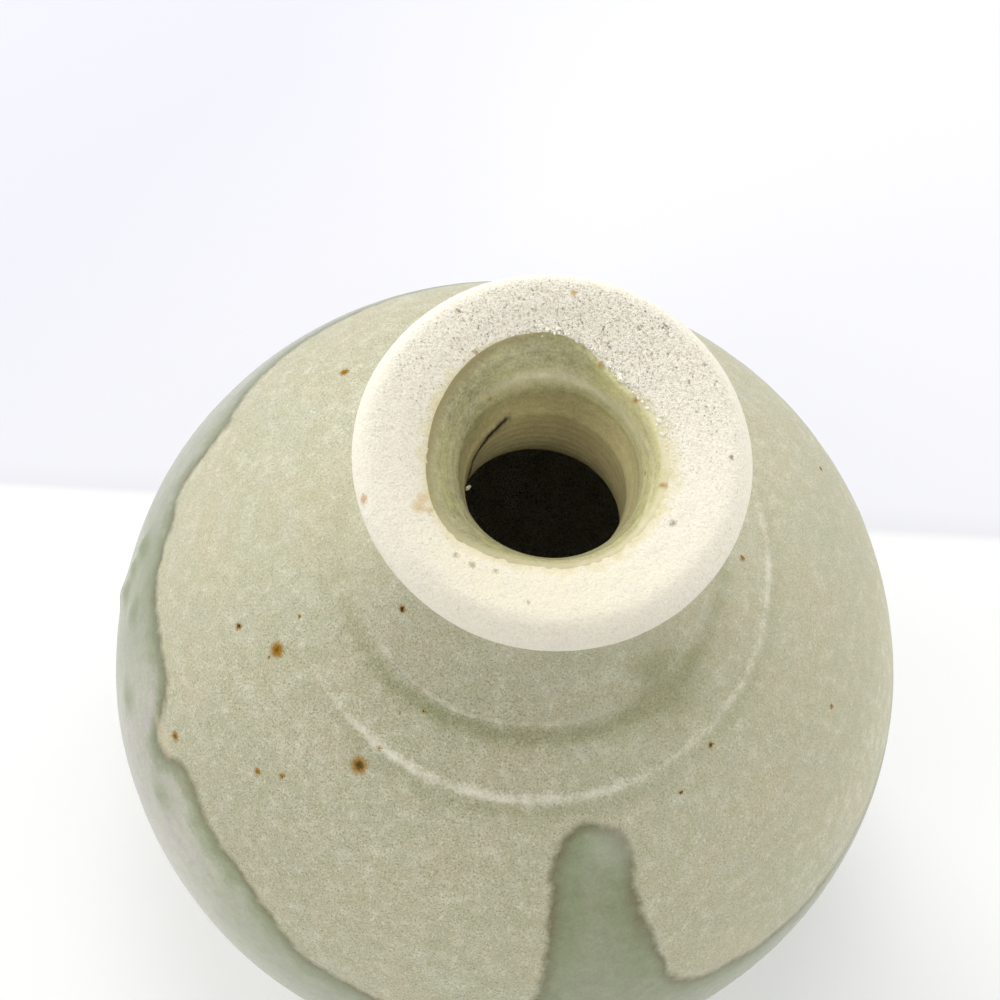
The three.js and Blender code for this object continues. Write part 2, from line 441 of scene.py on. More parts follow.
def newFinish(name, look=None, **sockets):
    # A shader, its place in millimetres, and what the look's dictionary asks for: the values painted on
    # the mesh, noise (size in mm and detail) and shares made of these (what each reads, from where to
    # where, least and most)
    made = bpy.data.materials.new(name)
    made.use_nodes = True
    tree = made.node_tree
    tree.nodes.clear()
    shader = add(tree, "ShaderNodeBsdfPrincipled", sockets)
    add(tree, "ShaderNodeOutputMaterial", {"Surface": shader})
    here = add(tree, "ShaderNodeTexCoord").outputs["Object"]
    here = add(tree, "ShaderNodeVectorMath", {0: here, "Scale": 1 / mm}, operation="SCALE")
    given = {}
    if look:
        for each in look["painted"]:
            given[each] = add(tree, "ShaderNodeAttribute", attribute_name=each).outputs["Fac"]
        for each, (size, detail) in look["noise"].items():
            inputs = {"Vector": here, "Scale": 1 / size, "Detail": detail,
                      "Roughness": look["noiseRoughness"]}
            given[each] = add(tree, "ShaderNodeTexNoise", inputs)
        for each, (value, low, high, least, most) in look["shares"].items():
            inputs = {"Value": given[value], "From Min": low, "From Max": high, "To Min": least,
                      "To Max": most}
            given[each] = add(tree, "ShaderNodeMapRange", inputs)
    return made, tree, shader, here, given


def layered(tree, look, colour, layers):
    # Several colours laid one over the other, each by its own amount. A name is one of the look's colours.
    for amount, over in layers:
        a, b = (linear(look.get(c, c)) if isinstance(c, str) else c for c in (colour, over))
        colour = add(tree, "ShaderNodeMix", {"Factor": amount, "A": a, "B": b}, data_type="RGBA")
    return colour


def feed(tree, shader, nodes):
    # The first output of each node goes to the shader's socket of that name.
    for name, node in nodes.items():
        tree.links.new(next(s for s in node.outputs if s.enabled), shader.inputs[name])


clayLook = dict(
    white="E1DCCB",
    cream="E3DBC3",
    mauve="D9D1C6",
    grit="9C8E6E",  # dark grains
    pinholeShade="6F604A",  # painted shade in the pinholes
    glint="F4F2EA",  # grains of quartz, pale and partly painted glints
    flash="CABD86",  # where glaze vapour warmed the clay
    painted=("fromGlaze", "sandy", "cream", "pale"),
    noise=dict(cloud=(9.0, 3), mottle=(2.2, 3), grain=(0.42, 3), fine=(0.2, 2)),
    noiseRoughness=0.65,
    shares=dict(
        cool=("mottle", 0.5, 0.7, 0, 0.4),
        quartz=("grain", 0.52, 0.66, 0, 0.75),
        fineQuartz=("fine", 0.54, 0.7, 0, 0.75),
        dark=("grain", 0.47, 0.31, 0, 0.75),
        fineDark=("fine", 0.47, 0.28, 0, 0.75),
    ),
    pinholes=[(0.8, 1.32), (0.5, 1.2)],  # size of their cells, and how rare they are
    markEdge=(0.62, 0.25),  # shares of a mark's width at which it begins and is full
    # marks on the lip, iron stains and dark pits painted as shade: azimuth, radius, width and colour
    marks=[(136, 16.9, 1.2, "A06A36"), (167, 17.6, 0.8, "9A6A58"), (-131, 19.7, 1.1, "8A6A48"),
           (83, 17.4, 0.7, "94704C"), (-61, 29.4, 1.7, "BC9468"), (-52, 22.2, 2.3, "CBB388"),
           (-49, 20.9, 1.4, "BBA070"), (-55, 21.0, 2.0, "CDB78E"), (70, 20.6, 1.2, "857B68"),
           (135, 26.9, 0.75, "7E7468"), (-134, 26.5, 0.85, "84705C"), (153, 26.6, 0.75, "7E7468"),
           (160, 23.9, 0.85, "6E675A"), (101, 26.2, 0.75, "746A58"), (-21, 22.1, 1.2, "A79C7C"),
           (-12, 21.2, 1.0, "B0A37E"), (-174, 25.9, 1.1, "BE9A5C"), (3, 24.5, 0.8, "A79C86"),
           (-36, 21.0, 0.8, "9A8E7A"), (-28, 22.4, 1.0, "A2967F"), (-150, 24.4, 0.5, "8B8072"),
           (170, 22.6, 0.5, "8B8072"), (120, 22.3, 0.6, "8B8072"), (-100, 24.9, 0.4, "8B8072")],
)


def bareStoneware():
    # Coarse stoneware, thrown, sponged and left bare in a wood kiln. It is off-white and quite dull, with
    # sand grains and pinholes in the skin and a warm flash beside the glaze.
    made, tree, shader, here, given = newFinish("bare stoneware", clayLook, Roughness=0.88, IOR=1.5)
    sandy = given["sandy"]
    # Cream where the fire warmed it, and faintly mauve elsewhere
    warm = add(tree, "ShaderNodeMath", {0: given["cloud"], 1: 0.5}, operation="ADD")
    warm = add(tree, "ShaderNodeMath", {0: warm, 1: given["cream"]}, operation="MULTIPLY")
    layers = [(warm, "cream"), (given["cool"], "mauve")]
    # Sand: pale quartz grains with painted glints, and dark grains, most where the sponge didn't pass
    for share, hexColour in (
        ("quartz", "glint"), ("fineQuartz", "glint"), ("dark", "grit"), ("fineDark", "grit")
    ):
        amount = add(tree, "ShaderNodeMath", {0: given[share], 1: sandy}, operation="MULTIPLY")
        layers.append((amount, hexColour))
    # Pinholes in loose clusters, none of them quite round, darkened as painted shade
    bent = given["fine"].outputs["Color"]
    bent = add(tree, "ShaderNodeVectorMath", {0: bent, "Scale": 0.5}, operation="SCALE")
    bent = add(tree, "ShaderNodeVectorMath", {0: here, 1: bent}, operation="ADD")
    pits = 0.0
    for size, rare in clayLook["pinholes"]:
        cells = add(tree, "ShaderNodeTexVoronoi", {"Vector": bent, "Scale": 1 / size, "Randomness": 1.0})
        inputs = {"Value": cells.outputs["Distance"], "From Min": 0.28, "From Max": 0.1, "To Max": 0.75}
        near = add(tree, "ShaderNodeMapRange", inputs)
        chosen = add(tree, "ShaderNodeSeparateColor", {"Color": cells.outputs["Color"]})
        chosen = add(tree, "ShaderNodeMath", {0: chosen, 1: given["mottle"]}, operation="ADD")
        inputs = {"Value": chosen, "From Min": rare, "From Max": rare + 0.15}
        chosen = add(tree, "ShaderNodeMapRange", inputs)
        near = add(tree, "ShaderNodeMath", {0: near, 1: chosen}, operation="MULTIPLY")
        pits = add(tree, "ShaderNodeMath", {0: near, 1: pits}, operation="MAXIMUM")
    pits = add(tree, "ShaderNodeMath", {0: pits, 1: sandy}, operation="MULTIPLY")
    # The flash fades within a few millimetres and is broken up by the mottle.
    inputs = {0: given["mottle"], 1: 5.0, 2: given["fromGlaze"]}
    flash = add(tree, "ShaderNodeMath", inputs, operation="MULTIPLY_ADD")
    inputs = {"Value": flash, "From Min": 4.4, "From Max": 2.4, "To Max": 0.6}
    flash = add(tree, "ShaderNodeMapRange", inputs)
    layers += [(pits, "pinholeShade"), (flash, "flash")]
    # Iron grains and stains, and dark pits painted as shade, each with a ragged edge
    ragged = {0: given["grain"].outputs["Color"], 1: (0.5, 0.5, 0.5)}
    ragged = add(tree, "ShaderNodeVectorMath", ragged, operation="SUBTRACT")
    ragged = add(tree, "ShaderNodeVectorMath", {0: ragged, "Scale": 1.4}, operation="SCALE")
    ragged = add(tree, "ShaderNodeVectorMath", {0: here, 1: ragged}, operation="ADD")
    begins, full = clayLook["markEdge"]
    for azimuth, radius, width, hexColour in clayLook["marks"]:
        gap = {0: ragged, 1: onLip(azimuth, radius)}
        gap = add(tree, "ShaderNodeVectorMath", gap, operation="DISTANCE").outputs["Value"]
        inputs = {"Value": gap, "From Min": width * begins, "From Max": width * full, "To Max": 0.8}
        layers.append((add(tree, "ShaderNodeMapRange", inputs), hexColour))
    colour = layered(tree, clayLook, "white", layers)
    # pale: painted light and shade round the lip
    colour = add(tree, "ShaderNodeVectorMath", {0: colour, "Scale": given["pale"]}, operation="SCALE")
    relief = add(tree, "ShaderNodeMath", {0: pits, 1: -0.8, 2: given["grain"]}, operation="MULTIPLY_ADD")
    relief = add(tree, "ShaderNodeMath", {0: given["fine"], 1: 0.4, 2: relief}, operation="MULTIPLY_ADD")
    coarse = add(tree, "ShaderNodeMath", {0: sandy, 1: 0.3}, operation="ADD")
    relief = add(tree, "ShaderNodeMath", {0: relief, 1: coarse}, operation="MULTIPLY")
    relief = add(tree, "ShaderNodeMath", {0: given["mottle"], 1: 0.8, 2: relief}, operation="MULTIPLY_ADD")
    skin = add(tree, "ShaderNodeBump", {"Height": relief, "Distance": 0.4 * mm, "Strength": 1.0})
    feed(tree, shader, {"Base Color": colour, "Normal": skin})
    return made


celadonLook = dict(
    green="A9AA8E",
    beige="B5AC8F",
    blue="ABB0A0",
    lightGrain="C8C5AA",
    darkGrain="7F7C62",
    veil="C3C2AA",  # pale veils, a few millimetres across
    moss="A2A37F",  # and greener patches between them
    pooledAndShade="DDDFCF",  # tints the glaze where it lies a little thicker below a ridge, and paints the shade there
    clayRidge="DAD5C4",  # where it is thin enough to show the clay, and a painted highlight along the ridges
    pool="7E8564",  # thick glaze
    milk="A3A291",  # thicker still, and milky
    mauveMilk="A4A096",
    rim="686244",  # the olive rim where the thick glaze begins
    missed="C2B498",  # a place that the glaze missed
    iron="2A2000",
    rust="8C6400",
    painted=("belowRun", "ridge", "joint", "pooledAndShade", "grainy", "milk", "pale", "wetPale"),
    noise=dict(cloud=(14.0, 2), drift=(7.0, 3), mottle=(3.0, 3), veil=(2.6, 5), grain=(0.5, 3),
               fleck=(0.3, 2)),
    noiseRoughness=0.6,
    shares=dict(
        cool=("drift", 0.5, 0.7, 0, 0.35),
        veiled=("veil", 0.5, 0.68, 0, 0.5),
        mossy=("veil", 0.48, 0.3, 0, 0.45),
        lightSpecks=("grain", 0.52, 0.7, 0, 0.7),
        darkSpecks=("fleck", 0.52, 0.28, 0, 0.7),
        broken=("veil", 0.38, 0.62, 0, 0.4),  # how the hairline breaks up
        bruised=("drift", 0.5, 0.62, 0, 1),
        patchy=("veil", 0.35, 0.6, 0.3, 1),  # how the olive rim comes and goes
        satin=("grain", 0.3, 0.7, 0.42, 0.6),  # roughness of the dry coat
    ),
    wetRoughness=0.26,
    neckLine=30.05,  # radius of the pale hairline where the neck was joined, partly a painted highlight on its step
    spotEdge=(0.62, 0.3),  # shares of a spot's width at which it begins and is full
    # iron spots on the shoulder: azimuth, radius, width and how dark the core is
    spots=[(-56.8, 44.3, 2.8, 0.3), (-25.7, 44.4, 3.2, 0.65), (-65.3, 49.2, 1.5, 1.0),
           (-46.6, 24.7, 1.6, 1.0), (-126.3, 48.2, 1.9, 0.1), (-54.7, 63.7, 2.0, 0.4),
           (-40.2, 55.5, 1.3, 0.2), (-36.4, 53.2, 1.1, 0.5), (-24.0, 40.6, 1.0, 0.2),
           (-56.3, 45.9, 0.8, 1.0), (-19.6, 32.6, 0.8, 1.0), (-25.0, 34.8, 0.5, 0.8),
           (-24.0, 32.6, 0.5, 0.8), (-61.4, 39.4, 0.8, 0.5), (57.2, 42.8, 1.2, 0.9), (46.1, 45.7, 0.9, 0.8),
           (103.5, 35.6, 1.1, 0.4), (82.0, 56.5, 1.1, 0.4), (-150, 52, 1.1, 0.8), (158, 44, 1.6, 0.7),
           (-178, 58, 1.2, 0.9), (128, 60, 1.4, 0.6)],
    missedShare=0.32,
    # places that the glaze missed: azimuth, radius and width
    misses=[(-58.5, 65.4, 2.6), (-57.0, 65.3, 3.6), (-55.0, 65.4, 3.8), (-53.6, 65.6, 2.8)],
)


def ashCeladon():
    # Wood-ash celadon, reduction fired. The thin upper coat is satin and finely speckled with clay and ash.
    # Below the run line it went on thick: glassy, green where it begins and milky further down, with an
    # olive rim.
    made, tree, shader, here, given = newFinish("ash celadon", celadonLook, IOR=1.5)
    tone = add(tree, "ShaderNodeMath", {0: given["mottle"], 1: given["cloud"]}, operation="ADD")
    tone = add(tree, "ShaderNodeMapRange", {"Value": tone, "From Min": 0.65, "From Max": 1.35})
    layers = [(tone, "beige"), (given["cool"], "blue")]
    for share, hexColour in (
        ("veiled", "veil"), ("mossy", "moss"), ("lightSpecks", "lightGrain"), ("darkSpecks", "darkGrain")
    ):
        amount = add(tree, "ShaderNodeMath", {0: given[share], 1: given["grainy"]}, operation="MULTIPLY")
        layers.append((amount, hexColour))
    dry = layered(tree, celadonLook, "green", layers)
    # Darker where the glaze pooled below the ridges, which also paints the shade there and beside the neck
    inputs = {0: given["mottle"], 1: 0.6, 2: given["pooledAndShade"]}
    thick = add(tree, "ShaderNodeMath", inputs, operation="MULTIPLY_ADD")
    thick = add(tree, "ShaderNodeMapRange", {"Value": thick, "From Min": 0.3, "From Max": 1.1})
    inputs = {"Factor": thick, "A": dry, "B": linear(celadonLook["pooledAndShade"])}
    dry = add(tree, "ShaderNodeMix", inputs, data_type="RGBA", blend_type="MULTIPLY")
    # Thin on a ridge, so the pale clay shows through, broken by the grain; this also paints a highlight
    # along the ridge
    thin = given["ridge"]
    for noise, share in (("grain", 1.1), ("veil", 1.2)):
        thin = add(tree, "ShaderNodeMath", {0: given[noise], 1: share, 2: thin}, operation="MULTIPLY_ADD")
    inputs = {"Value": thin, "From Min": 1.35, "From Max": 2.2, "To Max": 0.8}
    thin = add(tree, "ShaderNodeMapRange", inputs)
    # A pale hairline round the neck's root, partly a painted highlight on its step
    level = add(tree, "ShaderNodeVectorMath", {0: here, 1: (1, 1, 0)}, operation="MULTIPLY")
    out = add(tree, "ShaderNodeVectorMath", {0: level}, operation="LENGTH").outputs["Value"]
    out = add(tree, "ShaderNodeMath", {0: given["cloud"], 1: 1.2, 2: out}, operation="MULTIPLY_ADD")
    hairline = {0: out, 1: celadonLook["neckLine"] + 0.6, 2: 0.28}
    hairline = add(tree, "ShaderNodeMath", hairline, operation="COMPARE")
    for share in ("broken", "joint"):
        hairline = add(tree, "ShaderNodeMath", {0: hairline, 1: given[share]}, operation="MULTIPLY")
    dry = layered(tree, celadonLook, dry, [(thin, "clayRidge"), (hairline, "clayRidge")])

    # How far into the thick glaze this is, with a soft and wandering border
    inside = given["belowRun"]
    for noise, distance in (("mottle", 2.4), ("veil", 1.8)):
        ragged = add(tree, "ShaderNodeMath", {0: given[noise], 1: 0.5}, operation="SUBTRACT")
        inside = add(tree, "ShaderNodeMath", {0: ragged, 1: distance, 2: inside}, operation="MULTIPLY_ADD")
    drift = add(tree, "ShaderNodeMath", {0: given["drift"], 1: 12.0, 2: inside}, operation="MULTIPLY_ADD")
    steps = []
    for value, low, high in ((drift, 7.5, 13.0), (inside, 3.0, 0.5), (inside, -0.8, 1.0)):
        inputs = {"Value": value, "From Min": low, "From Max": high}
        steps.append(add(tree, "ShaderNodeMapRange", inputs, interpolation_type="SMOOTHSTEP"))
    milky, rim, isWet = steps
    milky = add(tree, "ShaderNodeMath", {0: milky, 1: given["milk"]}, operation="MULTIPLY")
    rim = add(tree, "ShaderNodeMath", {0: rim, 1: given["patchy"]}, operation="MULTIPLY")
    milk, mauve = linear(celadonLook["milk"]), linear(celadonLook["mauveMilk"])
    milk = add(tree, "ShaderNodeMix", {"Factor": given["bruised"], "A": milk, "B": mauve}, data_type="RGBA")
    wet = layered(tree, celadonLook, "pool", [(milky, milk), (rim, "rim")])
    speck = add(tree, "ShaderNodeMath", {0: given["veil"], 1: given["grain"]}, operation="ADD")
    inputs = {"Value": speck, "From Min": 0.6, "From Max": 1.4, "To Min": 0.82, "To Max": 1.18}
    speck = add(tree, "ShaderNodeMapRange", inputs)
    speck = add(tree, "ShaderNodeMath", {0: speck, 1: given["wetPale"]}, operation="MULTIPLY")
    wet = add(tree, "ShaderNodeVectorMath", {0: wet, "Scale": speck}, operation="SCALE")

    # Places that the glaze missed, then iron spots: a dark core that bled a rusty halo
    shift = {0: given["grain"].outputs["Color"], 1: given["fleck"].outputs["Color"]}
    shift = add(tree, "ShaderNodeVectorMath", shift, operation="ADD")
    shift = add(tree, "ShaderNodeVectorMath", {0: shift, 1: (1, 1, 1)}, operation="SUBTRACT")
    shift = add(tree, "ShaderNodeVectorMath", {0: here, 1: shift}, operation="ADD")
    begins, full = celadonLook["spotEdge"]
    blots = [(*miss, celadonLook["missedShare"], "missed") for miss in celadonLook["misses"]]
    for azimuth, radius, width, core in celadonLook["spots"]:
        blots.append((azimuth, radius, width, 1 - 0.2 * core, "rust"))
        blots.append((azimuth, radius, width * (0.24 + 0.34 * core), 0.35 + 0.65 * core, "iron"))
    layers, stained = [(isWet, wet)], 0.0
    for azimuth, radius, width, most, hexColour in blots:
        gap = {0: shift, 1: onBody(azimuth, radius)}
        gap = add(tree, "ShaderNodeVectorMath", gap, operation="DISTANCE").outputs["Value"]
        inputs = {"Value": gap, "From Min": width * begins, "From Max": width * full, "To Max": most}
        amount = add(tree, "ShaderNodeMapRange", inputs)
        layers.append((amount, hexColour))
        stained = add(tree, "ShaderNodeMath", {0: amount, 1: stained}, operation="MAXIMUM")
    colour = layered(tree, celadonLook, dry, layers)
    # pale: painted light and shade round the pot
    colour = add(tree, "ShaderNodeVectorMath", {0: colour, "Scale": given["pale"]}, operation="SCALE")
    # The stains are dry, so they reflect next to nothing.
    shine = add(tree, "ShaderNodeMapRange", {"Value": stained, "To Min": 0.5, "To Max": 0.02})
    inputs = {"Factor": isWet, "A": given["satin"], "B": celadonLook["wetRoughness"]}
    gloss = add(tree, "ShaderNodeMix", inputs, data_type="FLOAT")
    rough = add(tree, "ShaderNodeMath", {0: given["fleck"], 1: 0.5, 2: given["grain"]},
                operation="MULTIPLY_ADD")
    rough = add(tree, "ShaderNodeMath", {0: rough, 1: given["grainy"]}, operation="MULTIPLY")
    level = add(tree, "ShaderNodeMix", {"Factor": isWet, "A": rough, "B": 0.6}, data_type="FLOAT")
    skin = add(tree, "ShaderNodeBump", {"Height": level, "Distance": 0.1 * mm, "Strength": 1.0})
    feed(tree, shader, {"Base Color": colour, "Specular IOR Level": shine, "Roughness": gloss,
                        "Normal": skin})
    return made


mouthLook = dict(
    green="BDB988",
    grey="BBB68D",
    brown="AFA57E",
    beige="E0DABC",  # pale beige: painted light on a band round the back of the mouth and a painted highlight along a ridge on the right
    fringe="E6DDBE",  # its thinnest edge, over the clay
    line="80733F",  # the thin olive-brown edge of the glaze
    deep="CEC8AC",
    spot="9A6A1E",
    crack="D6D3B4",
    crackSize=2.6,
    streak="30242A",
    painted=("belowEdge", "streak", "beige", "line", "fringe", "spots", "pale"),
    noise=dict(cloud=(6.0, 2), mottle=(1.6, 3), grain=(0.4, 2)),
    noiseRoughness=0.6,
    shares=dict(
        tint=("cloud", 0.4, 0.62, 0, 1),
        browner=("belowEdge", 6.0, 13.0, 0, 0.4),
        deep=("belowEdge", 14.0, 32.0, 0, 0.8),
        speck=("grain", 0.35, 0.65, -0.1, 0.1),
        uneven=("mottle", 0.3, 0.7, -0.13, 0.13),
        edge=("belowEdge", 2.2, 0.2, 0, 1),
        dull=("belowEdge", 3.5, 0.5, 0.24, 0.6),  # roughness, duller where it thins out at its edge
    ),
)


def mouthCeladon():
    # The same celadon where it pooled in the mouth: olive, glassy and finely crazed, browner down the
    # throat where the flame didn't reach.
    made, tree, shader, here, given = newFinish("celadon in the mouth", mouthLook, IOR=1.5)
    # Brown bands that follow the wheel, and painted shading of its rings in the brightness
    flat = add(tree, "ShaderNodeVectorMath", {0: here, 1: (0.06, 0.06, 0.8)}, operation="MULTIPLY")
    band = add(tree, "ShaderNodeTexNoise", {"Vector": flat, "Scale": 1.0, "Detail": 3.0, "Roughness": 0.7})
    inputs = {"Value": band, "From Min": 0.3, "From Max": 0.7, "To Min": -0.13, "To Max": 0.13}
    turned = add(tree, "ShaderNodeMapRange", inputs)
    band = add(tree, "ShaderNodeMath", {0: band, 1: given["browner"]}, operation="ADD")
    band = add(tree, "ShaderNodeMapRange", {"Value": band, "From Min": 0.62, "From Max": 0.9})
    layers = [(given["tint"], "grey"), (band, "brown"), (given["deep"], "deep")]
    colour = layered(tree, mouthLook, "green", layers)
    speck = given["speck"]
    # pale: painted light and shade round the mouth and down the throat
    for more in (given["uneven"], turned, given["pale"]):
        speck = add(tree, "ShaderNodeMath", {0: speck, 1: more}, operation="ADD")
    colour = add(tree, "ShaderNodeVectorMath", {0: colour, "Scale": speck}, operation="SCALE")
    # Painted light on the band and a painted highlight along the ridge, laid on in beige
    thin = add(tree, "ShaderNodeMath", {0: given["mottle"], 1: 0.5}, operation="ADD")
    thin = add(tree, "ShaderNodeMath", {0: thin, 1: given["beige"]}, operation="MULTIPLY")
    # Crazing: pale hairlines round cells a few millimetres wide
    bent = given["mottle"].outputs["Color"]
    bent = add(tree, "ShaderNodeVectorMath", {0: bent, "Scale": 1.2}, operation="SCALE")
    bent = add(tree, "ShaderNodeVectorMath", {0: here, 1: bent}, operation="ADD")
    inputs = {"Vector": bent, "Scale": 1 / mouthLook["crackSize"]}
    cells = add(tree, "ShaderNodeTexVoronoi", inputs, feature="DISTANCE_TO_EDGE").outputs["Distance"]
    crack = add(tree, "ShaderNodeMapRange", {"Value": cells, "From Min": 0.03, "From Max": 0.012,
                                             "To Max": 0.22})
    crack = add(tree, "ShaderNodeMath", {0: crack, 1: given["tint"]}, operation="MULTIPLY")
    # It fades out over the clay, and here and there ends in a thin dark line.
    inputs = {0: given["mottle"], 1: 2.4, 2: given["belowEdge"]}
    fringe = add(tree, "ShaderNodeMath", inputs, operation="MULTIPLY_ADD")
    inputs = {"Value": fringe, "From Min": 2.8, "From Max": 1.2, "To Max": 0.85}
    fringe = add(tree, "ShaderNodeMapRange", inputs)
    fringe = add(tree, "ShaderNodeMath", {0: fringe, 1: given["fringe"]}, operation="MULTIPLY")
    edge = add(tree, "ShaderNodeMath", {0: given["edge"], 1: given["line"]}, operation="MULTIPLY")
    layers = [(thin, "beige"), (crack, "crack"), (fringe, "fringe"), (edge, "line")]
    layers += [(given["spots"], "spot"), (given["streak"], "streak")]
    colour = layered(tree, mouthLook, colour, layers)
    level = add(tree, "ShaderNodeMath", {0: given["grain"], 1: 0.3}, operation="MULTIPLY")
    skin = add(tree, "ShaderNodeBump", {"Height": level, "Distance": 0.05 * mm, "Strength": 1.0})
    feed(tree, shader, {"Base Color": colour, "Roughness": given["dull"], "Normal": skin})
    return made


def rawClay(name, light, dark):
    # Unglazed clay inside the pot, smoked grey-brown in the kiln and dusty.
    made, tree, shader, here = newFinish(name, Roughness=0.95, IOR=1.5)[:4]
    inputs = {"Vector": here, "Scale": 1 / 6.0, "Detail": 5.0, "Roughness": 0.7}
    cloud = add(tree, "ShaderNodeTexNoise", inputs)
    patches = add(tree, "ShaderNodeMapRange", {"Value": cloud, "From Min": 0.35, "From Max": 0.65})
    skin = add(tree, "ShaderNodeBump", {"Height": cloud, "Distance": 0.3 * mm, "Strength": 0.8})
    inputs = {"Factor": patches, "A": linear(dark), "B": linear(light)}
    colour = add(tree, "ShaderNodeMix", inputs, data_type="RGBA")
    feed(tree, shader, {"Base Color": colour, "Normal": skin})
    return made


def chippedGlass():
    # Clear crumbs of glaze along the chipped edge, bright because each face is a small mirror.
    made, tree, shader, here = newFinish("chipped glaze", Roughness=0.08, IOR=1.5)[:4]
    cloud = add(tree, "ShaderNodeTexNoise", {"Vector": here, "Scale": 1 / 0.5, "Detail": 1.0})
    inputs = {"Factor": cloud, "A": linear("D9D6BD"), "B": linear("F4F3EA")}
    colour = add(tree, "ShaderNodeMix", inputs, data_type="RGBA")
    feed(tree, shader, {"Base Color": colour})
    return made


clayFinish, coatFinish, mouthFinish = bareStoneware(), ashCeladon(), mouthCeladon()
insideFinish = rawClay("smoked inside", "B8AFB6", "9E959C")
slipFinish = rawClay("slip joint", "B5AB96", "9C917C")
crumbFinish = chippedGlass()
print("finishes made")


# The glaze over the body and neck

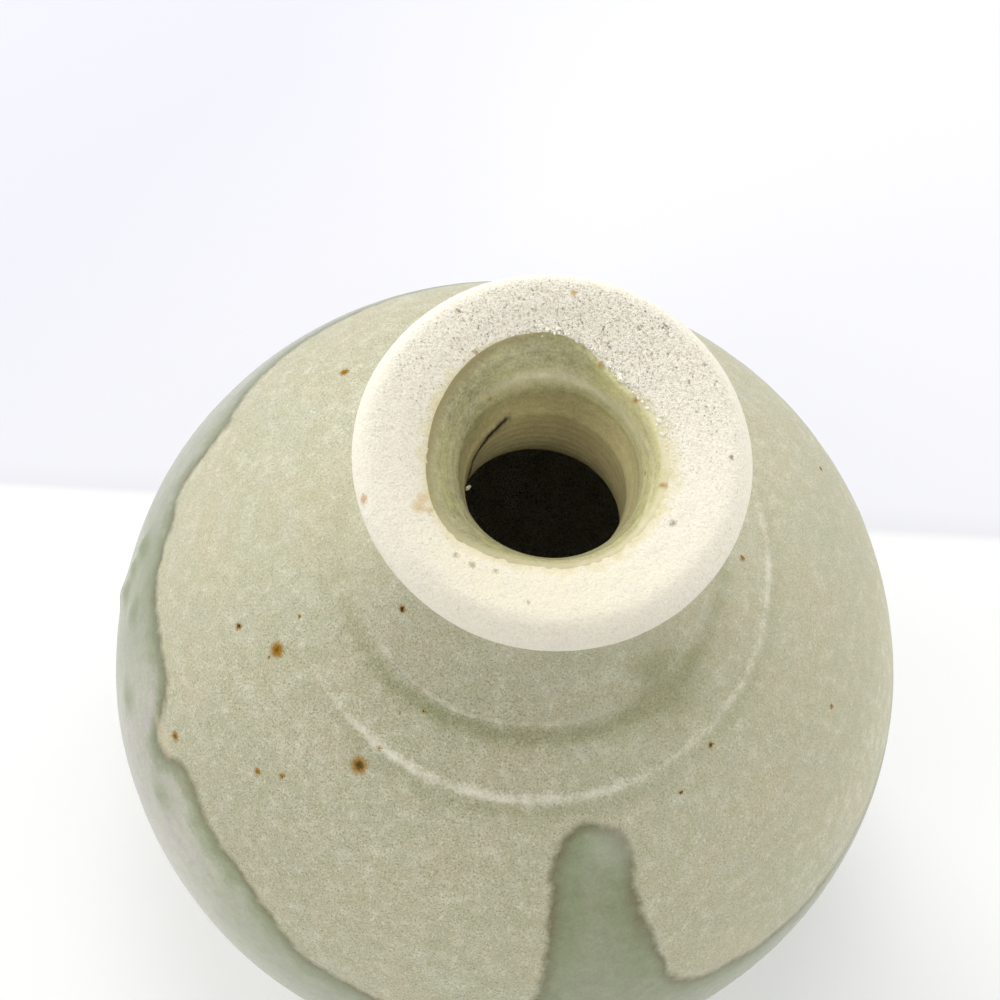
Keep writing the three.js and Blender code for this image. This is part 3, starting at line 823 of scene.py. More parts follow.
coat = dict(
    # what the wheel leaves on it: the wheel's own inputs, in mm
    wheelMarks={"Columns": 360, "Ring Spacing": 3.4, "Ring Depth": 0.025, "Wobble": 0.5,
                "Wobble Size": 38.0, "Grit Size": 2.6, "Grit Height": 0.1, "Seed": 3.0},
    thin=0.5,  # the dry upper coat
    thick=0.75,  # below the run line
    under=0.45,  # how deep its hidden side lies in the clay
    underSpacing=6.0,
    ringRadius=40.3,
    # how far the ring strays from that radius: azimuth and mm
    ringSway=[(-180, 0.2), (-140, 0.5), (-100, 0.1), (-60, -0.7), (-44, -0.4), (-28, -0.3), (-4, 0.1),
              (20, 0.1), (28, 0.25), (44, 0.3), (60, 0), (84, -0.2), (100, -0.2), (130, 0.2)],
    ringHeight=0.42,
    ringWidth=0.8,
    ringHollow=(0.14, 2.0, 1.3),  # the dip outside it: depth, how far out and width
    ringShade=(0.5, 1.8, 1.1),  # glaze that pooled there, darkened also as painted shade: share, how far out and width
    # two fainter ridges: height, radius and width, and for the second its azimuth and spread too
    faintRing=(0.08, 35.6, 1.2),
    faintArc=(0.08, 45.6, 1.0, -8, 35),
    # how strongly the thumb ring and the glaze below the neck's root, pooled there and darkened as painted
    # shade, show: azimuth and strength
    ringStrength=[(-180, 0.35), (-110, 0.1), (-60, 0.12), (-40, 0.4), (-30, 0.85), (-22, 1.15), (-12, 0.66),
                  (-3, 0.76), (5, 0.8), (20, 0.7), (30, 0.56), (42, 0.46), (55, 0.46), (66, 0.5),
                  (82, 0.42), (94, 0.52), (130, 0.4)],
    rootStrength=[(-180, 0.3), (-110, 0.08), (-62, 0.12), (-45, 0.55), (-25, 1.0), (20, 0.95), (50, 0.8),
                  (90, 0.4), (140, 0.35)],
    # the same for the step at the neck's root
    rootRingRadius=30.05,
    rootRingHeight=0.2,
    rootRingWidth=0.45,
    rootSway=0.2,
    rootHollow=(0.22, 1.6, 1.3),
    rootShade=(0.95, 1.7, 1.5),
    hairlineFade=(0.6, 45, 40),  # how far its pale hairline fades: share, azimuth and spread
    shadeBesideNeck=(56.0, 30.5, 5.5),  # painted shadow beside the neck: azimuth, radius and width
    footLine=14.0,  # height of the glaze's lower edge
    footWaves=(2.2, 1.2),  # how far it wanders, and how far it hangs down in tongues
    footLowest=10.5,  # no tongue hangs below this height
    footRoll=(0.75, 2.4),  # the roll of glaze above it: how far it stands out, and its width
    runs=0.1,  # how far the downhill runs in the thick glaze stand out
    # where the thick glaze begins: azimuth and height
    runLine=[(-150, 108), (-122, 111), (-107, 114), (-101.7, 112.7), (-95.8, 110.8), (-85.6, 111.8),
             (-81.7, 110.4), (-78, 110.6), (-68, 112.5), (-63.3, 112.3), (-60.7, 109.8), (-57.7, 106.3),
             (-55.2, 103.3), (-51.1, 108.9), (-48.3, 111.1), (-45.2, 108.5), (-40.7, 106.9), (-36.2, 106.5),
             (-28, 103), (-18, 97), (0, 94), (12, 97), (25, 99), (38, 97), (50, 93), (65, 91), (90, 90),
             (110, 92), (130, 98), (150, 103), (180, 105)],
    runWaves=[(0.6, 5, (9, 14, 23)), (0.25, 7, (37, 51, 73))],  # its unevenness: mm, seed and turns
    # a drop of it that climbs the shoulder in front: the line down its middle, and its half width
    drop=[(24.9, 127.4), (24.4, 118), (25.5, 104), (25, 92)],
    dropWidth=5.4,
    # how much wider it gets from one height down to another
    dropFlare=[(0.3, 129.5, 124.5), (1.0, 124, 96)],
    dropWaves=(0.5, 6, (19, 31, 47)),
    dropBlend=9.0,  # mm over which the drop's sides flow into the run line
    # how milky the thick glaze is: azimuth and share
    milk=[(-180, 0.4), (-110, 0.6), (-90, 0.4), (-82, 0.05), (-74, 0.15), (-66, 0.9), (-45, 1.0),
          (-25, 0.3), (40, 0.15), (90, 0.4)],
    beadAtRun=(0.1, 2.6, 2.4),  # the bead where thick glaze begins: height, how far in and width
    # how bright the thick glaze is: azimuth and factor
    wetPale=[(-180, 1.0), (-100, 0.97), (-81, 0.94), (-72, 0.88), (-66, 1.01), (-61, 0.98), (-56, 0.92),
             (-50, 1.04), (-45, 1.16), (-38, 1.2), (-28, 1.12), (-15, 1.0)],
    # how speckled the dry coat is, and how pale, the paleness being painted light and shade round the pot:
    # azimuth and factor
    grainy=[(-180, 1.3), (-130, 1.4), (-85, 0.9), (-62, 1.2), (-45, 1.4), (0, 1.4), (45, 1.1), (90, 0.8),
            (130, 1.0)],
    pale=[(-180, 1.07), (-130, 1.06), (-85, 1.04), (-60, 0.98), (-35, 0.98), (-12, 1.09), (50, 1.09),
          (75, 1.04), (90, 1.07), (125, 1.12)],
    # a paler band on the right near the outline: azimuth and spread, then how much paler it is and how much
    # of the pale ridge colour it takes
    rightRim=(88, 42),
    rightRimPale=0.085,
    rightRimClay=0.2,
    neckShade=(0.1, 10, 60),  # how much darker it is beside the neck: share, azimuth and spread
    # lumps of glaze on the left, each darkened as painted shade: azimuth, height, width and how far each
    # stands out
    lumps=[(-88, 101.5, 2.4, 0.8), (-85.5, 98.0, 1.7, 0.7), (-82.5, 95.0, 2.1, 0.8),
           (-83.5, 90.5, 2.6, 0.6), (-78, 101, 2.0, 0.5), (-66, 96, 3.0, 0.4), (-50, 98, 3.2, 0.4)],
)


def coatSpacing(r, z):
    if z < pot["belly"] - 4:
        return 2.0
    if abs(r - coat["ringRadius"]) < 2 or abs(r - coat["rootRingRadius"]) < 1.5:
        return 0.25
    if r > 46:
        return 1.25
    return 0.5 if r > 25 else 1.0


def intoThickGlaze(azimuth, radius, height):
    # mm down the surface from the run line, or in from the drop's edge, whichever is further in
    runLine = around(azimuth, coat["runLine"])
    for high, seed, turns in coat["runWaves"]:
        runLine = runLine + high * waves(azimuth, seed, turns)
    run = np.interp(height, bodyLine[:, 1], bodyRun)
    below = np.interp(runLine, bodyLine[:, 1], bodyRun) - run
    # Where the line runs steeply, it is nearer than straight up.
    slant = around(azimuth + 1, coat["runLine"]) - around(azimuth - 1, coat["runLine"])
    slant /= 2 * np.radians(1) * np.maximum(radius, 20)
    below /= np.hypot(1, slant)
    middle = [(a, np.interp(z, bodyLine[:, 1], bodyRun)) for a, z in coat["drop"]]
    flare = 1.0
    for wider, top, bottom in coat["dropFlare"]:
        flare = flare + wider * smoothstep(top, bottom, height)
    high, seed, turns = coat["dropWaves"]
    drop = coat["dropWidth"] * flare
    drop += high * waves(azimuth, seed, turns) - toLine(azimuth, radius, run, middle)
    blend = coat["dropBlend"]
    return np.maximum(below, drop) + np.maximum(blend - np.abs(below - drop), 0) ** 2 / (4 * blend)


def beside(radius, ringAt, shape):
    # A dip or shade that lies outside a ring
    amount, out, width = shape
    return amount * bump(radius, ringAt + out, width)


def makeCoat():
    line = bodyLine[(bodyLine[:, 1] > pot["footTop"] + 2) & (bodyLine[:, 1] < pot["lipUnder"] - 0.2)]
    line = resampled(line, coatSpacing)
    out = outwards(line)
    under = resampled(line[::-1], coat["underSpacing"])
    inner = under + outwards(under) * coat["under"]
    stretches = [(line + out * pot["coat"], out, 1.0), (inner, -outwards(under), 0.0)]
    piece = thrown("outer_glaze_coat", stretches, dict(coat["wheelMarks"], Finish=coatFinish))
    azimuth, radius, height = drawn(piece, pot["coat"])
    belowRun = intoThickGlaze(azimuth, radius, height)

    # The ring that a thumb left, the small step at the neck's root, and two fainter ridges
    onShoulder = smoothstep(pot["belly"], pot["belly"] + 20, height)
    ringAt = coat["ringRadius"] + around(azimuth, coat["ringSway"], 5)
    rootAt = coat["rootRingRadius"] + coat["rootSway"] * waves(azimuth, 9, (1, 2, 5))
    shown = around(azimuth, coat["ringStrength"], 8)
    root = around(azimuth, coat["rootStrength"], 8)
    ring = shown * bump(radius, ringAt, coat["ringWidth"])
    lift = coat["ringHeight"] * ring - shown * beside(radius, ringAt, coat["ringHollow"])
    lift += root * coat["rootRingHeight"] * bump(radius, rootAt, coat["rootRingWidth"])
    lift -= root * beside(radius, rootAt, coat["rootHollow"])
    high, at, width = coat["faintRing"]
    lift += high * bump(radius, at, width)
    high, at, width, turn, spread = coat["faintArc"]
    lift += high * bump(radius, at, width) * bump(apart(azimuth, turn), 0, spread)
    lift *= onShoulder

    # The thick glaze, with a bead where it begins, lumps, and runs further down
    lift += coat["thin"] - pot["coat"] + (coat["thick"] - coat["thin"]) * smoothstep(-2, 5, belowRun)
    milk = around(azimuth, coat["milk"], 5)
    high, at, width = coat["beadAtRun"]
    lift += high * bump(belowRun, at, width) * milk
    for at, rise, width, high in coat["lumps"]:
        lump = bump(apart(azimuth, at) * np.radians(radius), 0, width) * bump(height, rise, width)
        lift += high * lump
        # painted shade at the lump: less milk, so darker
        milk -= 0.8 * lump
    lift += coat["runs"] * waves(azimuth, 15, (7, 11, 18)) * smoothstep(8, 34, belowRun)

    # A roll of glaze in shallow tongues above the foot
    wander, hang = coat["footWaves"]
    edge = coat["footLine"] + wander * waves(azimuth, 11, (2, 3, 5, 9))
    edge -= hang * np.abs(waves(azimuth, 12, (4, 7)))
    aboveFoot = height - np.maximum(edge, coat["footLowest"])
    high, width = coat["footRoll"]
    lift += high * bump(aboveFoot, width, width)
    lift -= (pot["coat"] + 0.4 + lift) * (1 - smoothstep(-1.0, 0.9, aboveFoot))
    lift -= 0.35 * smoothstep(pot["lipUnder"] - 1.6, pot["lipUnder"] - 0.3, height)  # tucked under the lip

    # Painted shadow beside the neck
    at, out, width = coat["shadeBesideNeck"]
    shadeBesideNeck = bump(np.hypot(apart(azimuth, at) * np.radians(out), radius - out), 0, width)
    # Painted shade below each ridge, where the glaze also pooled
    pooledAndShade = root * beside(radius, rootAt, coat["rootShade"])
    pooledAndShade += shown * beside(radius, ringAt, coat["ringShade"])
    at, spread = coat["rightRim"]
    rightRim = bump(apart(azimuth, at), 0, spread) * smoothstep(61.5, 66.5, radius)
    rightRim *= smoothstep(pot["belly"] - 12, pot["belly"] - 3, height)
    share, at, spread = coat["hairlineFade"]
    joint = root * onShoulder * (1 - share * bump(apart(azimuth, at), 0, spread))
    share, at, spread = coat["neckShade"]
    byNeck = share * bump(apart(azimuth, at), 0, spread) * smoothstep(33, 29, radius)
    painted(piece, "belowRun", np.minimum(belowRun, 3 * np.maximum(aboveFoot, 0) + 0.6))
    # The ridges' pale colour: clay showing through, and a painted highlight
    painted(piece, "ridge", ring * onShoulder + coat["rightRimClay"] * rightRim)
    painted(piece, "joint", joint)
    painted(piece, "pooledAndShade", (pooledAndShade + shadeBesideNeck) * onShoulder)
    painted(piece, "milk", milk)
    for name, soft in (("grainy", 6), ("wetPale", 3)):
        painted(piece, name, around(azimuth, coat[name], soft))
    # Painted light and shade round the pot, plus the paler band on the right, minus the painted shade
    # beside the neck
    painted(piece, "pale", around(azimuth, coat["pale"], 8) + coat["rightRimPale"] * rightRim - byNeck)
    lifted(piece, lift)
    return piece


# The mouth isn't round, and the lip and the glaze in it share its shape

mouth = dict(
    # where the lip turns down: azimuth and radius. The potter's thumb pushed it in at the back right.
    edge=[(-175, 18.9), (-164, 19.6), (-148, 19.7), (-131, 19.3), (-106, 18.6), (-82, 18.6), (-63, 19.4),
          (-49, 20.1), (-35, 20.0), (-13, 18.5), (8, 17.9), (34, 17.8), (59, 17.2), (90, 16.6), (111, 16.1),
          (129, 15.8), (148, 15.2), (158, 15.5), (167, 16.3), (178, 18.2)],
    # how far the glaze runs out over that edge: azimuth and mm
    over=[(-180, 0), (-60, 0), (-20, 0.2), (30, 0.2), (59, 0.3), (75, 0.6), (90, 0.8), (111, 0.5),
          (129, 0.3), (145, 0)],
    # how strongly its edge frays and thins out: azimuth and share
    fringe=[(-180, 0), (-140, 0.05), (-105, 0.3), (-80, 0.3), (-60, 0.2), (-20, 0.6), (25, 0.9), (60, 1),
            (105, 1), (130, 0.6), (150, 0.1)],
    chipped=(163.0, 27.0),  # where the glaze's edge broke off: azimuth and how wide
    wheelMarks={"Wobble": 0.4, "Wobble Size": 18.0, "Seed": 7.0},
)


def pushed(azimuth, radius, height):
    # How far out the clay stands: all of it at the mouth's edge, none at the crown or under the lip
    level = smoothstep(crownRadius, pot["mouthRadius"], radius)
    upright = np.clip((height - pot["lipUnder"]) / (mouthHeight - pot["lipUnder"]), 0, 1)
    upright = upright ** pot["mouthPower"]
    return (around(azimuth, mouth["edge"], 3) - pot["mouthRadius"]) * level * upright


def intoMouth(azimuth, height):
    # mm down the surface from the glaze's edge, for a place inside the crown
    at, width = mouth["chipped"]
    ragged = (0.05 + 0.08 * around(azimuth, mouth["fringe"], 6)) * waves(azimuth, 21, (5, 9, 14, 23))
    ragged += 0.3 * bump(apart(azimuth, at), 0, width) * waves(azimuth, 22, (22, 37, 60, 81))
    ragged += 0.16 * around(azimuth, mouth["fringe"], 6) * waves(azimuth, 23, (29, 43, 61, 77))
    edge = np.interp(mouthHeight, mouthLine[:, 1], mouthRun) + around(azimuth, mouth["over"], 5) + ragged
    return edge - np.interp(height, mouthLine[:, 1], mouthRun)


# The bare lip

lip = dict(
    wheelMarks={"Columns": 600, "Ring Spacing": 5.0, "Ring Depth": 0.04, "Grit Size": 0.9,
                "Grit Height": 0.14},
    spacing=0.33,
    sunk=0.2,  # how far the clay keeps below the glaze
    sponged=0.25,  # how sandy the clay still is where the sponge passed
    # how sandy the top is: azimuth and share
    sandy=[(-180, 1.05), (-140, 0.9), (-110, 0.6), (-80, 0.35), (-30, 0.25), (0, 0.2), (60, 0.22),
           (90, 0.32), (120, 0.7), (150, 1.0)],
    # how creamy, how pale (paler or darker round the lip as painted light and shade), and how far the flash
    # falls short of the glaze: azimuth and amount
    cream=[(-180, 0.15), (-120, 0.15), (-60, 0.3), (-20, 0.85), (20, 0.85), (60, 0.3), (100, 0.1),
           (140, 0.1)],
    pale=[(-180, 1.11), (-140, 1.175), (-110, 1.12), (-90, 1.03), (-60, 1.02), (0, 1.03), (45, 1.05),
          (100, 1.14), (140, 1.13)],
    flashless=[(-180, 2.6), (-150, 1.6), (-128, 0.6), (-108, -0.1), (-90, -0.1), (-60, 0.2), (-20, 0.2),
               (25, 0.3), (60, 0), (100, 0.2), (130, 0.6), (145, 1.6), (158, 3.0)],
)


def makeLip():
    line = lipLine[: crownPoint + int(np.argmax(lipLine[crownPoint:, 1] < pot["lipUnder"]))]
    line = resampled(line, lip["spacing"])
    skin = smoothstep(0, 3, along(line))
    flat = plain((pot["lipBoreRadius"], pot["lipUnder"]), (pot["neckTopRadius"] - 0.5, pot["lipUnder"]))
    marks = mouth["wheelMarks"] | lip["wheelMarks"] | {"Finish": clayFinish}
    piece = thrown("bare_lip", [flat, (line, outwards(line), skin)], marks)
    azimuth, radius, height = drawn(piece)
    onTop = (radius < crownRadius) & (height > pot["lipUnder"] + 0.1)
    down = np.where(onTop, intoMouth(azimuth, height), -8.0)
    rounded = smoothstep(crownRadius + 0.5, crownRadius + 2.5, radius)
    sandy = around(azimuth, lip["sandy"], 12)
    onSide = np.where(height > pot["lipUnder"] + 4, radius - pot["mouthRadius"], 9.0)
    fromGlaze = np.where(onTop, -down, onSide) + around(azimuth, lip["flashless"], 6)
    painted(piece, "fromGlaze", fromGlaze)
    painted(piece, "sandy", sandy * (1 - rounded) + lip["sponged"] * rounded)
    creamy = 1 - 0.75 * smoothstep(crownRadius - 2.5, crownRadius + 3.2, radius)
    painted(piece, "cream", around(azimuth, lip["cream"], 8) * creamy)
    # Painted light and shade: paler or darker round the lip
    painted(piece, "pale", around(azimuth, lip["pale"], 8))
    lifted(piece, -lip["sunk"] * smoothstep(0.2, 1.4, down), pushed(azimuth, radius, height))
    return piece


# The glaze in the mouth and throat

mouthGlaze = dict(
    wheelMarks={"Columns": 340, "Ring Spacing": 2.3, "Ring Depth": 0.02, "Grit Size": 1.4,
                "Grit Height": 0.03},
    spacing=0.35,
    underSpacing=3.0,
    thickness=0.45,
    feather=3.0,  # how far down it takes to reach that thickness
    under=0.7,  # how deep its hidden side lies in the clay
    # a dark scratch down the left of the throat, and a painted highlight along a ridge on the right:
    # azimuth and height
    streak=[(-138, 168.2), (-130.5, 167.2), (-122, 166.4), (-116, 165.1), (-107, 164.2), (-102.5, 161.5),
            (-103, 156)],
    ridge=[(150, 177.8), (134, 176.6), (105, 179.8), (91, 179.7), (78, 180.2), (61, 182.0)],
    # iron specks: azimuth, height and width
    spots=[(138.6, 181.9, 0.55), (167.0, 182.1, 0.4), (86.0, 182.2, 0.4), (-128, 175.5, 0.3),
           (100, 176.5, 0.35)],
    rings=[(174.0, 1.5, 0.1), (168.0, 1.0, 0.08)],  # height, width and how far each stands out
    bandHeight=176.6,  # a pale band round the back of the mouth, painted light where a ledge faces up
    # how strongly that band shows, and how pale the glaze is, which paints light and shade round the mouth:
    # azimuth and amount
    band=[(-180, 0.75), (-150, 0.7), (-120, 0.2), (-60, 0.1), (60, 0.1), (130, 0.3), (160, 0.7)],
    pale=[(-180, 0.71), (-145, 0.78), (-130, 0.76), (-113, 0.62), (-95, 0.74), (-75, 0.72), (-50, 0.66),
          (-20, 0.78), (20, 0.82), (60, 0.96), (110, 1.04), (135, 1.26), (155, 1.22), (170, 0.78)],
    paleDeep=0.95,  # how much paler it gets down the throat, as painted light
    lessPaleDeep=(0.6, 152, 28),  # and how much less at one side: share, azimuth and spread
    # how strongly the thin line at the glaze's edge shows: azimuth and share
    line=[(-180, 0.15), (-150, 0.5), (-130, 0.75), (-95, 0.8), (-60, 0.6), (-20, 0.4), (60, 0.3),
          (110, 0.15), (150, 0.05)],
)


def makeMouthGlaze():
    line = resampled(mouthLine[mouthLine[:, 1] > pot["neckRoot"] + 2.5], mouthGlaze["spacing"])
    out = -outwards(line)  # the bore's outside is towards the axis
    thickness = mouthGlaze["thickness"]
    under = resampled(line[::-1], mouthGlaze["underSpacing"])
    inner = under - outwards(under) * mouthGlaze["under"]
    marks = mouth["wheelMarks"] | mouthGlaze["wheelMarks"] | {"Finish": mouthFinish}
    stretches = [(line + out * thickness, out, 1.0), (inner, outwards(under), 0.0)]
    piece = thrown("mouth_glaze_coat", stretches, marks)
    azimuth, radius, height = drawn(piece, thickness)
    at, width = mouth["chipped"]
    broken = bump(apart(azimuth, at), 0, width)
    down = intoMouth(azimuth, height)
    feather = mouthGlaze["feather"] * (1 - 0.8 * broken)
    lift = 0.05 - thickness + (thickness - 0.05) * smoothstep(0, feather, down)
    for rise, wide, high in mouthGlaze["rings"]:
        lift += high * bump(height, rise, wide)
    lift -= 0.55 * (1 - smoothstep(-0.6, 0.1, down))
    uneven = 0.65 + 0.5 * bump(height, 165.6, 1.5) + 0.25 * waves(azimuth, 31, (40, 67, 90))
    painted(piece, "streak", bump(toLine(azimuth, radius, height, mouthGlaze["streak"]), 0, uneven))
    # Painted light on the band round the back, and a painted highlight along the ridge on the right
    band = around(azimuth, mouthGlaze["band"], 8) * bump(height, mouthGlaze["bandHeight"], 1.2)
    ridge = 0.45 * bump(toLine(azimuth, radius, height, mouthGlaze["ridge"]), 0, 0.5)
    painted(piece, "beige", band + ridge)
    painted(piece, "line", around(azimuth, mouthGlaze["line"], 6))
    painted(piece, "fringe", around(azimuth, mouth["fringe"], 6))
    spots = 0.0
    for at, rise, width in mouthGlaze["spots"]:
        spots = spots + bump(np.hypot(apart(azimuth, at) * np.radians(radius), height - rise), 0, width)
    painted(piece, "spots", spots)
    less, at, spread = mouthGlaze["lessPaleDeep"]
    fade = mouthGlaze["paleDeep"] - less * bump(apart(azimuth, at), 0, spread)
    # Painted light and shade: paler or darker round the mouth, and paler down the throat
    pale = around(azimuth, mouthGlaze["pale"], 8)
    painted(piece, "pale", pale * (1 + fade * smoothstep(177.5, 166, height)))
    painted(piece, "belowEdge", down)
    lifted(piece, lift, pushed(azimuth, radius, height))
    return piece


# Crumbs of glaze along the chipped edge

crumbs = dict(
    # stretches of edge that carry them: azimuth from, azimuth to and how many
    stretches=[(146, 163, 34), (186, 201, 34), (163, 186, 10), (104, 146, 30)],
    size=0.34,
    sizeSpread=0.6,
    beyondEdge=(0.5, 0.35),  # how far outside the mouth's edge they lie, and how much that varies
    standing=0.12,  # mm above the mouth's edge
    chip=(-85.0, 11.9, 163.0, 1.0),  # one bright chip in the throat: azimuth, radius, height and size
    seed=4,
)


def crumbTree():
    tree = bpy.data.node_groups.new("crumbs of glaze", "GeometryNodeTree")
    for name, kind in (("Places", "Geometry"), ("Seed", "Int"), ("Finish", "Material")):
        tree.interface.new_socket(name, in_out="INPUT", socket_type="NodeSocket" + kind)
    tree.interface.new_socket("Crumbs", in_out="OUTPUT", socket_type="NodeSocketGeometry")
    given = add(tree, "NodeGroupInput").outputs
    ball = add(tree, "GeometryNodeMeshIcoSphere", {"Radius": 0.5 * mm, "Subdivisions": 1})
    size = add(tree, "GeometryNodeInputNamedAttribute", {"Name": "size"}, data_type="FLOAT")
    chance = []
    for least, most in ((0, math.tau), (0.35, 1.5)):
        inputs = {"Min": (least,) * 3, "Max": (most,) * 3, "Seed": given["Seed"]}
        chance.append(add(tree, "FunctionNodeRandomValue", inputs, data_type="FLOAT_VECTOR"))
    turn, shape = chance
    shape = add(tree, "ShaderNodeVectorMath", {0: shape, "Scale": size}, operation="SCALE")
    inputs = {"Points": given["Places"], "Instance": ball, "Rotation": turn, "Scale": shape}
    stand = add(tree, "GeometryNodeInstanceOnPoints", inputs)
    stand = add(tree, "GeometryNodeRealizeInstances", {"Geometry": stand})
    stand = add(tree, "GeometryNodeSetMaterial", {"Geometry": stand, "Material": given["Finish"]})
    add(tree, "NodeGroupOutput", {0: stand})
    return tree


def makeCrumbs():
    random = np.random.default_rng(crumbs["seed"])
    places = [crumbs["chip"]]
    for start, end, count in crumbs["stretches"]:
        azimuth = random.uniform(start, end, count)
        edge = around(azimuth, mouth["edge"], 3)
        radius = edge + random.normal(*crumbs["beyondEdge"], count)
        height = mouthHeight + crumbs["standing"] + 0.3 * np.maximum(radius - edge, -0.3)
        size = crumbs["size"] * random.lognormal(0, crumbs["sizeSpread"], count)
        places += zip(azimuth, radius, height, size)
    azimuth, radius, height, size = np.array(places).T
    a = np.radians(azimuth)
    mesh = bpy.data.meshes.new("glaze_crumbs")
    points = np.column_stack([radius * np.sin(a), -radius * np.cos(a), height]) * mm
    mesh.from_pydata(points.tolist(), [], [])
    mesh.attributes.new("size", "FLOAT", "POINT").data.foreach_set("value", size.astype(np.float32))
    piece = placed("glaze_crumbs", mesh)
    finished(piece, crumbTree(), {"Seed": crumbs["seed"], "Finish": crumbFinish})
    return piece


# The bare clay of the foot and of the body above it

foot = dict(
    wheelMarks={"Columns": 300, "Ring Spacing": 2.4, "Ring Depth": 0.06, "Wobble": 0.4, "Wobble Size": 14.0,
                "Grit Size": 1.1, "Grit Height": 0.16, "Seed": 9.0},
    spacing=0.6,
    underRing=3.2,  # how far each side's outline reaches in under the ring
    cornerRounding=0.35,
    paint=dict(fromGlaze=7.0, sandy=0.8, cream=0.4, pale=1.0),
)


def paintedWith(piece, paint):
    count = len(piece.data.vertices)
    for name, value in paint.items():
        painted(piece, name, np.broadcast_to(value, count))
    lifted(piece, np.zeros(count))


def makeFootRing():
    top, out = pot["footTop"], pot["footRadius"]
    inside, bevel = pot["footRadius"] - pot["footWidth"], pot["footBevel"]
    stretches = []
    for corners in (
        [(out - foot["underRing"], 0), (out - bevel, 0), (out, bevel), (out, top)],
        [(inside, top), (inside, bevel), (inside + bevel, 0), (inside + foot["underRing"], 0)],
    ):
        line = resampled(softened(np.array(corners, float), foot["cornerRounding"]), foot["spacing"])
        skin = smoothstep(0, 0.8, line[:, 1]) * smoothstep(top, top - 0.8, line[:, 1])
        stretches.append((line, outwards(line), skin))
    piece = thrown("turned_foot", stretches, dict(foot["wheelMarks"], Finish=clayFinish))
    paintedWith(piece, foot["paint"])
    return piece


lowerPart = dict(
    wheelMarks={"Columns": 300, "Ring Spacing": 3.6, "Ring Depth": 0.16, "Wobble": 0.4, "Wobble Size": 16.0,
                "Grit Size": 1.1, "Grit Height": 0.14, "Seed": 13.0},
    nub=(0.7, 4.5),  # the nub that the turning tool left under the floor: height and width
    shownTo=(18, 24),  # heights between which the wheel's marks end, hidden by the glaze
    paleInside=1.25,
)


def makeLowerClay():
    top, inside = pot["footTop"], pot["footRadius"] - pot["footWidth"]
    r = np.linspace(0, inside - 0.3, 60)
    high, wide = lowerPart["nub"]
    ceiling = np.column_stack([r, top - high * bump(r, 0, wide)])
    down = np.tile([0.0, -1.0], (len(r), 1))
    ceilingSkin = smoothstep(inside - 0.3, inside - 3, r) * smoothstep(0.0, 1.5, r)
    line = bodyLine[bodyLine[:, 1] <= pot["belly"]]
    line = resampled(line, lambda r, z: foot["spacing"] if z < 20 else 4.0)
    line[-1] = pot["bellyRadius"], pot["belly"]
    skin = (1 - smoothstep(*lowerPart["shownTo"], line[:, 1])) * smoothstep(top, top + 0.8, line[:, 1])
    hollow = line[::-1] + outwards(line[::-1]) * pot["wall"]
    hollow = hollow[(hollow[:, 1] > pot["floor"]) & (hollow[:, 1] < pot["belly"])]
    insideBelly = (pot["bellyRadius"] - pot["wall"], pot["belly"])
    inner = plain(insideBelly, *hollow, (hollow[-1][0] - 4, pot["floor"]), (0, pot["floor"]))
    stretches = [(ceiling, down, ceilingSkin), (line, outwards(line), skin), inner]
    piece = thrown("lower_clay", stretches, dict(lowerPart["wheelMarks"], Finish=clayFinish))
    radius, height = drawn(piece)[1:]
    toGlaze = np.abs(coat["footLine"] - height) * 0.5
    paint = dict(foot["paint"])
    paint["fromGlaze"] = np.where(height > top + 0.5, toGlaze, paint["fromGlaze"])
    within = np.interp(height, bodyLine[:, 1], bodyLine[:, 0]) - radius > 0.5 * pot["wall"]
    paint["pale"] = np.where(within & (height > top + 2), lowerPart["paleInside"], paint["pale"])
    paintedWith(piece, paint)
    return piece


outerCoat = makeCoat()
print("outer glaze", len(outerCoat.data.polygons))
bareLip = makeLip()
print("lip", len(bareLip.data.polygons))
mouthCoat = makeMouthGlaze()
print("mouth glaze", len(mouthCoat.data.polygons))
glazeCrumbs = makeCrumbs()
print("crumbs", len(glazeCrumbs.data.polygons))
turnedFoot = makeFootRing()
lowerClay = makeLowerClay()
print("foot and lower clay", len(turnedFoot.data.polygons), len(lowerClay.data.polygons))

for piece, node, slot in (
    (outerCoat, "outer_glaze", "celadon"),
    (bareLip, "mouth_lip", "stoneware"),
    (mouthCoat, "mouth_glaze", "celadon"),
    (glazeCrumbs, "mouth_glaze", "celadon"),
    (turnedFoot, "foot_ring", "stoneware"),
    (lowerClay, "lower_body", "stoneware"),
):
    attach(piece, "root")
    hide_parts(node)
for name, finish in (
    ("upper_body", insideFinish),
    ("neck", insideFinish),
    ("body_seam_slip", slipFinish),
    ("neck_seam_slip", slipFinish),
):
    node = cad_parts[name]
    node.data.materials.clear()
    node.data.materials.append(finish)


# Floor, light and camera

studio = dict(
    paper="F2F2F2",
    backdrop="DADAE2",
    backdropNear="E4E4E9",
    brighter=(1.0, -0.6, 0.0),  # the way along the floor in which the backdrop gets brighter
    # the paper's far edge: how far behind the axis it passes, and its turn
    paperEnd=59.9,
    paperTurn=10.9,
    paperBlur=1.5,
    backdropFade=(-190.0, -100.0),  # from dim to bright along that way
    # painted shadow below the paper's edge: mm behind it between which the backdrop is dimmer, and how
    # bright there
    shadowBehindPaper=(1, 7, 0.955),
    floorSide=3.0,  # metres from the middle to each side
    sky="FFFFFF",
    skyStrength=0.715,
    # softboxes: azimuth, elevation, width in metres and watts. Most stand low round the back and the left.
    softboxes=[(225, 22, 0.6, 11.1), (135, 22, 0.6, 6.3), (270, 22, 0.6, 4.6), (315, 22, 0.6, 2.6),
               (45, 22, 0.6, 2.5), (200, 70, 0.6, 4.1)],
    softboxDistance=1.6,
)
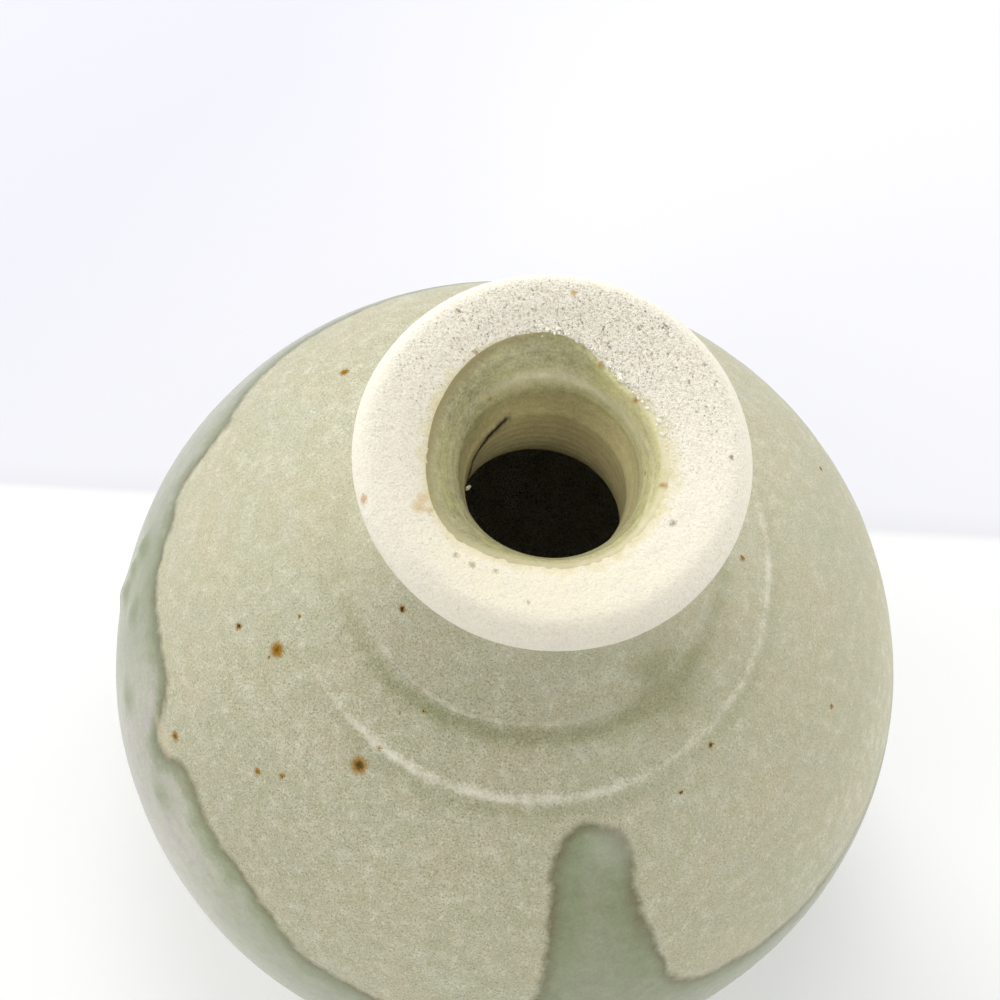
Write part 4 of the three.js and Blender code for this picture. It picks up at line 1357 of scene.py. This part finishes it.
camera = dict(
    sensor=36.0,
    frame=1000,  # pixels
    elevation=72.1,
    distance=453.2,
    roll=13.27,
    lens=86.43,
    bellyPixel=(506.0, 658.6),  # where the centre of the belly shows in a frame of 1000 by 1000
)


def makeFloor():
    mesh = bpy.data.meshes.new("floor")
    side = studio["floorSide"]
    corners = [(-side, -side, 0), (side, -side, 0), (side, side, 0), (-side, side, 0)]
    mesh.from_pydata(corners, [], [(0, 1, 2, 3)])
    floor = placed("floor", mesh)
    made, tree, shader, here = newFinish("white paper", Roughness=0.9)[:4]
    turn = math.radians(studio["paperTurn"])
    back = (-math.sin(turn), math.cos(turn), 0)
    behind = add(tree, "ShaderNodeVectorMath", {0: here, 1: back}, operation="DOT_PRODUCT").outputs["Value"]
    end, blur = studio["paperEnd"], studio["paperBlur"]
    inputs = {"Value": behind, "From Min": end - blur, "From Max": end + blur}
    past = add(tree, "ShaderNodeMapRange", inputs)
    # The backdrop is dimmer far off on the left, and a painted shadow darkens it just behind the paper's
    # edge.
    bright = add(tree, "ShaderNodeVectorMath", {0: here, 1: studio["brighter"]}, operation="DOT_PRODUCT")
    low, high = studio["backdropFade"]
    inputs = {"Value": bright.outputs["Value"], "From Min": low, "From Max": high}
    bright = add(tree, "ShaderNodeMapRange", inputs)
    low, high = linear(studio["backdrop"]), linear(studio["backdropNear"])
    backdrop = add(tree, "ShaderNodeMix", {"Factor": bright, "A": low, "B": high}, data_type="RGBA")
    near, far, least = studio["shadowBehindPaper"]
    inputs = {"Value": behind, "From Min": end + near, "From Max": end + far, "To Min": least}
    dim = add(tree, "ShaderNodeMapRange", inputs)
    backdrop = add(tree, "ShaderNodeVectorMath", {0: backdrop, "Scale": dim}, operation="SCALE")
    inputs = {"Factor": past, "A": linear(studio["paper"]), "B": backdrop}
    feed(tree, shader, {"Base Color": add(tree, "ShaderNodeMix", inputs, data_type="RGBA")})
    mesh.materials.append(made)


def makeLight():
    world = bpy.data.worlds.new("studio")
    world.use_nodes = True
    sky = world.node_tree.nodes["Background"].inputs
    sky["Color"].default_value = linear(studio["sky"])
    sky["Strength"].default_value = studio["skyStrength"]
    bpy.context.scene.world = world
    aim = Vector((0, 0, 120 * mm))
    for azimuth, elevation, size, power in studio["softboxes"]:
        lamp = bpy.data.lights.new("softbox", "AREA")
        lamp.shape, lamp.size, lamp.energy = "DISK", size, power
        box = placed("softbox", lamp)
        a, e = math.radians(azimuth), math.radians(elevation)
        back = Vector((math.sin(a) * math.cos(e), -math.cos(a) * math.cos(e), math.sin(e)))
        box.location = aim + back * studio["softboxDistance"]
        box.rotation_euler = (-back).to_track_quat("-Z", "Y").to_euler()
        box.visible_camera = False
    bpy.context.scene.view_settings.view_transform = "Standard"


def makeCamera():
    data = bpy.data.cameras.new("camera")
    data.lens, data.sensor_width = camera["lens"], camera["sensor"]
    data.clip_start, data.clip_end = 0.01, 20.0
    made = placed("camera", data)
    e = math.radians(camera["elevation"])
    back = Vector((0, -math.cos(e), math.sin(e)))
    level = (-back).to_track_quat("-Z", "Y")
    tilt = Quaternion((0, 0, 1), math.radians(camera["roll"]))
    pixels = camera["lens"] / camera["sensor"] * camera["frame"]
    u, v = camera["bellyPixel"]
    middle = camera["frame"] / 2
    aim = Vector(((u - middle) / pixels, (middle - v) / pixels, -1)).normalized()
    made.location = Vector((0, 0, pot["belly"] * mm)) + back * camera["distance"] * mm
    made.rotation_mode = "QUATERNION"
    made.rotation_quaternion = level @ tilt @ Vector((0, 0, -1)).rotation_difference(aim).inverted()
    bpy.context.scene.camera = made


makeFloor()
makeLight()
makeCamera()
print("floor, light and camera set")
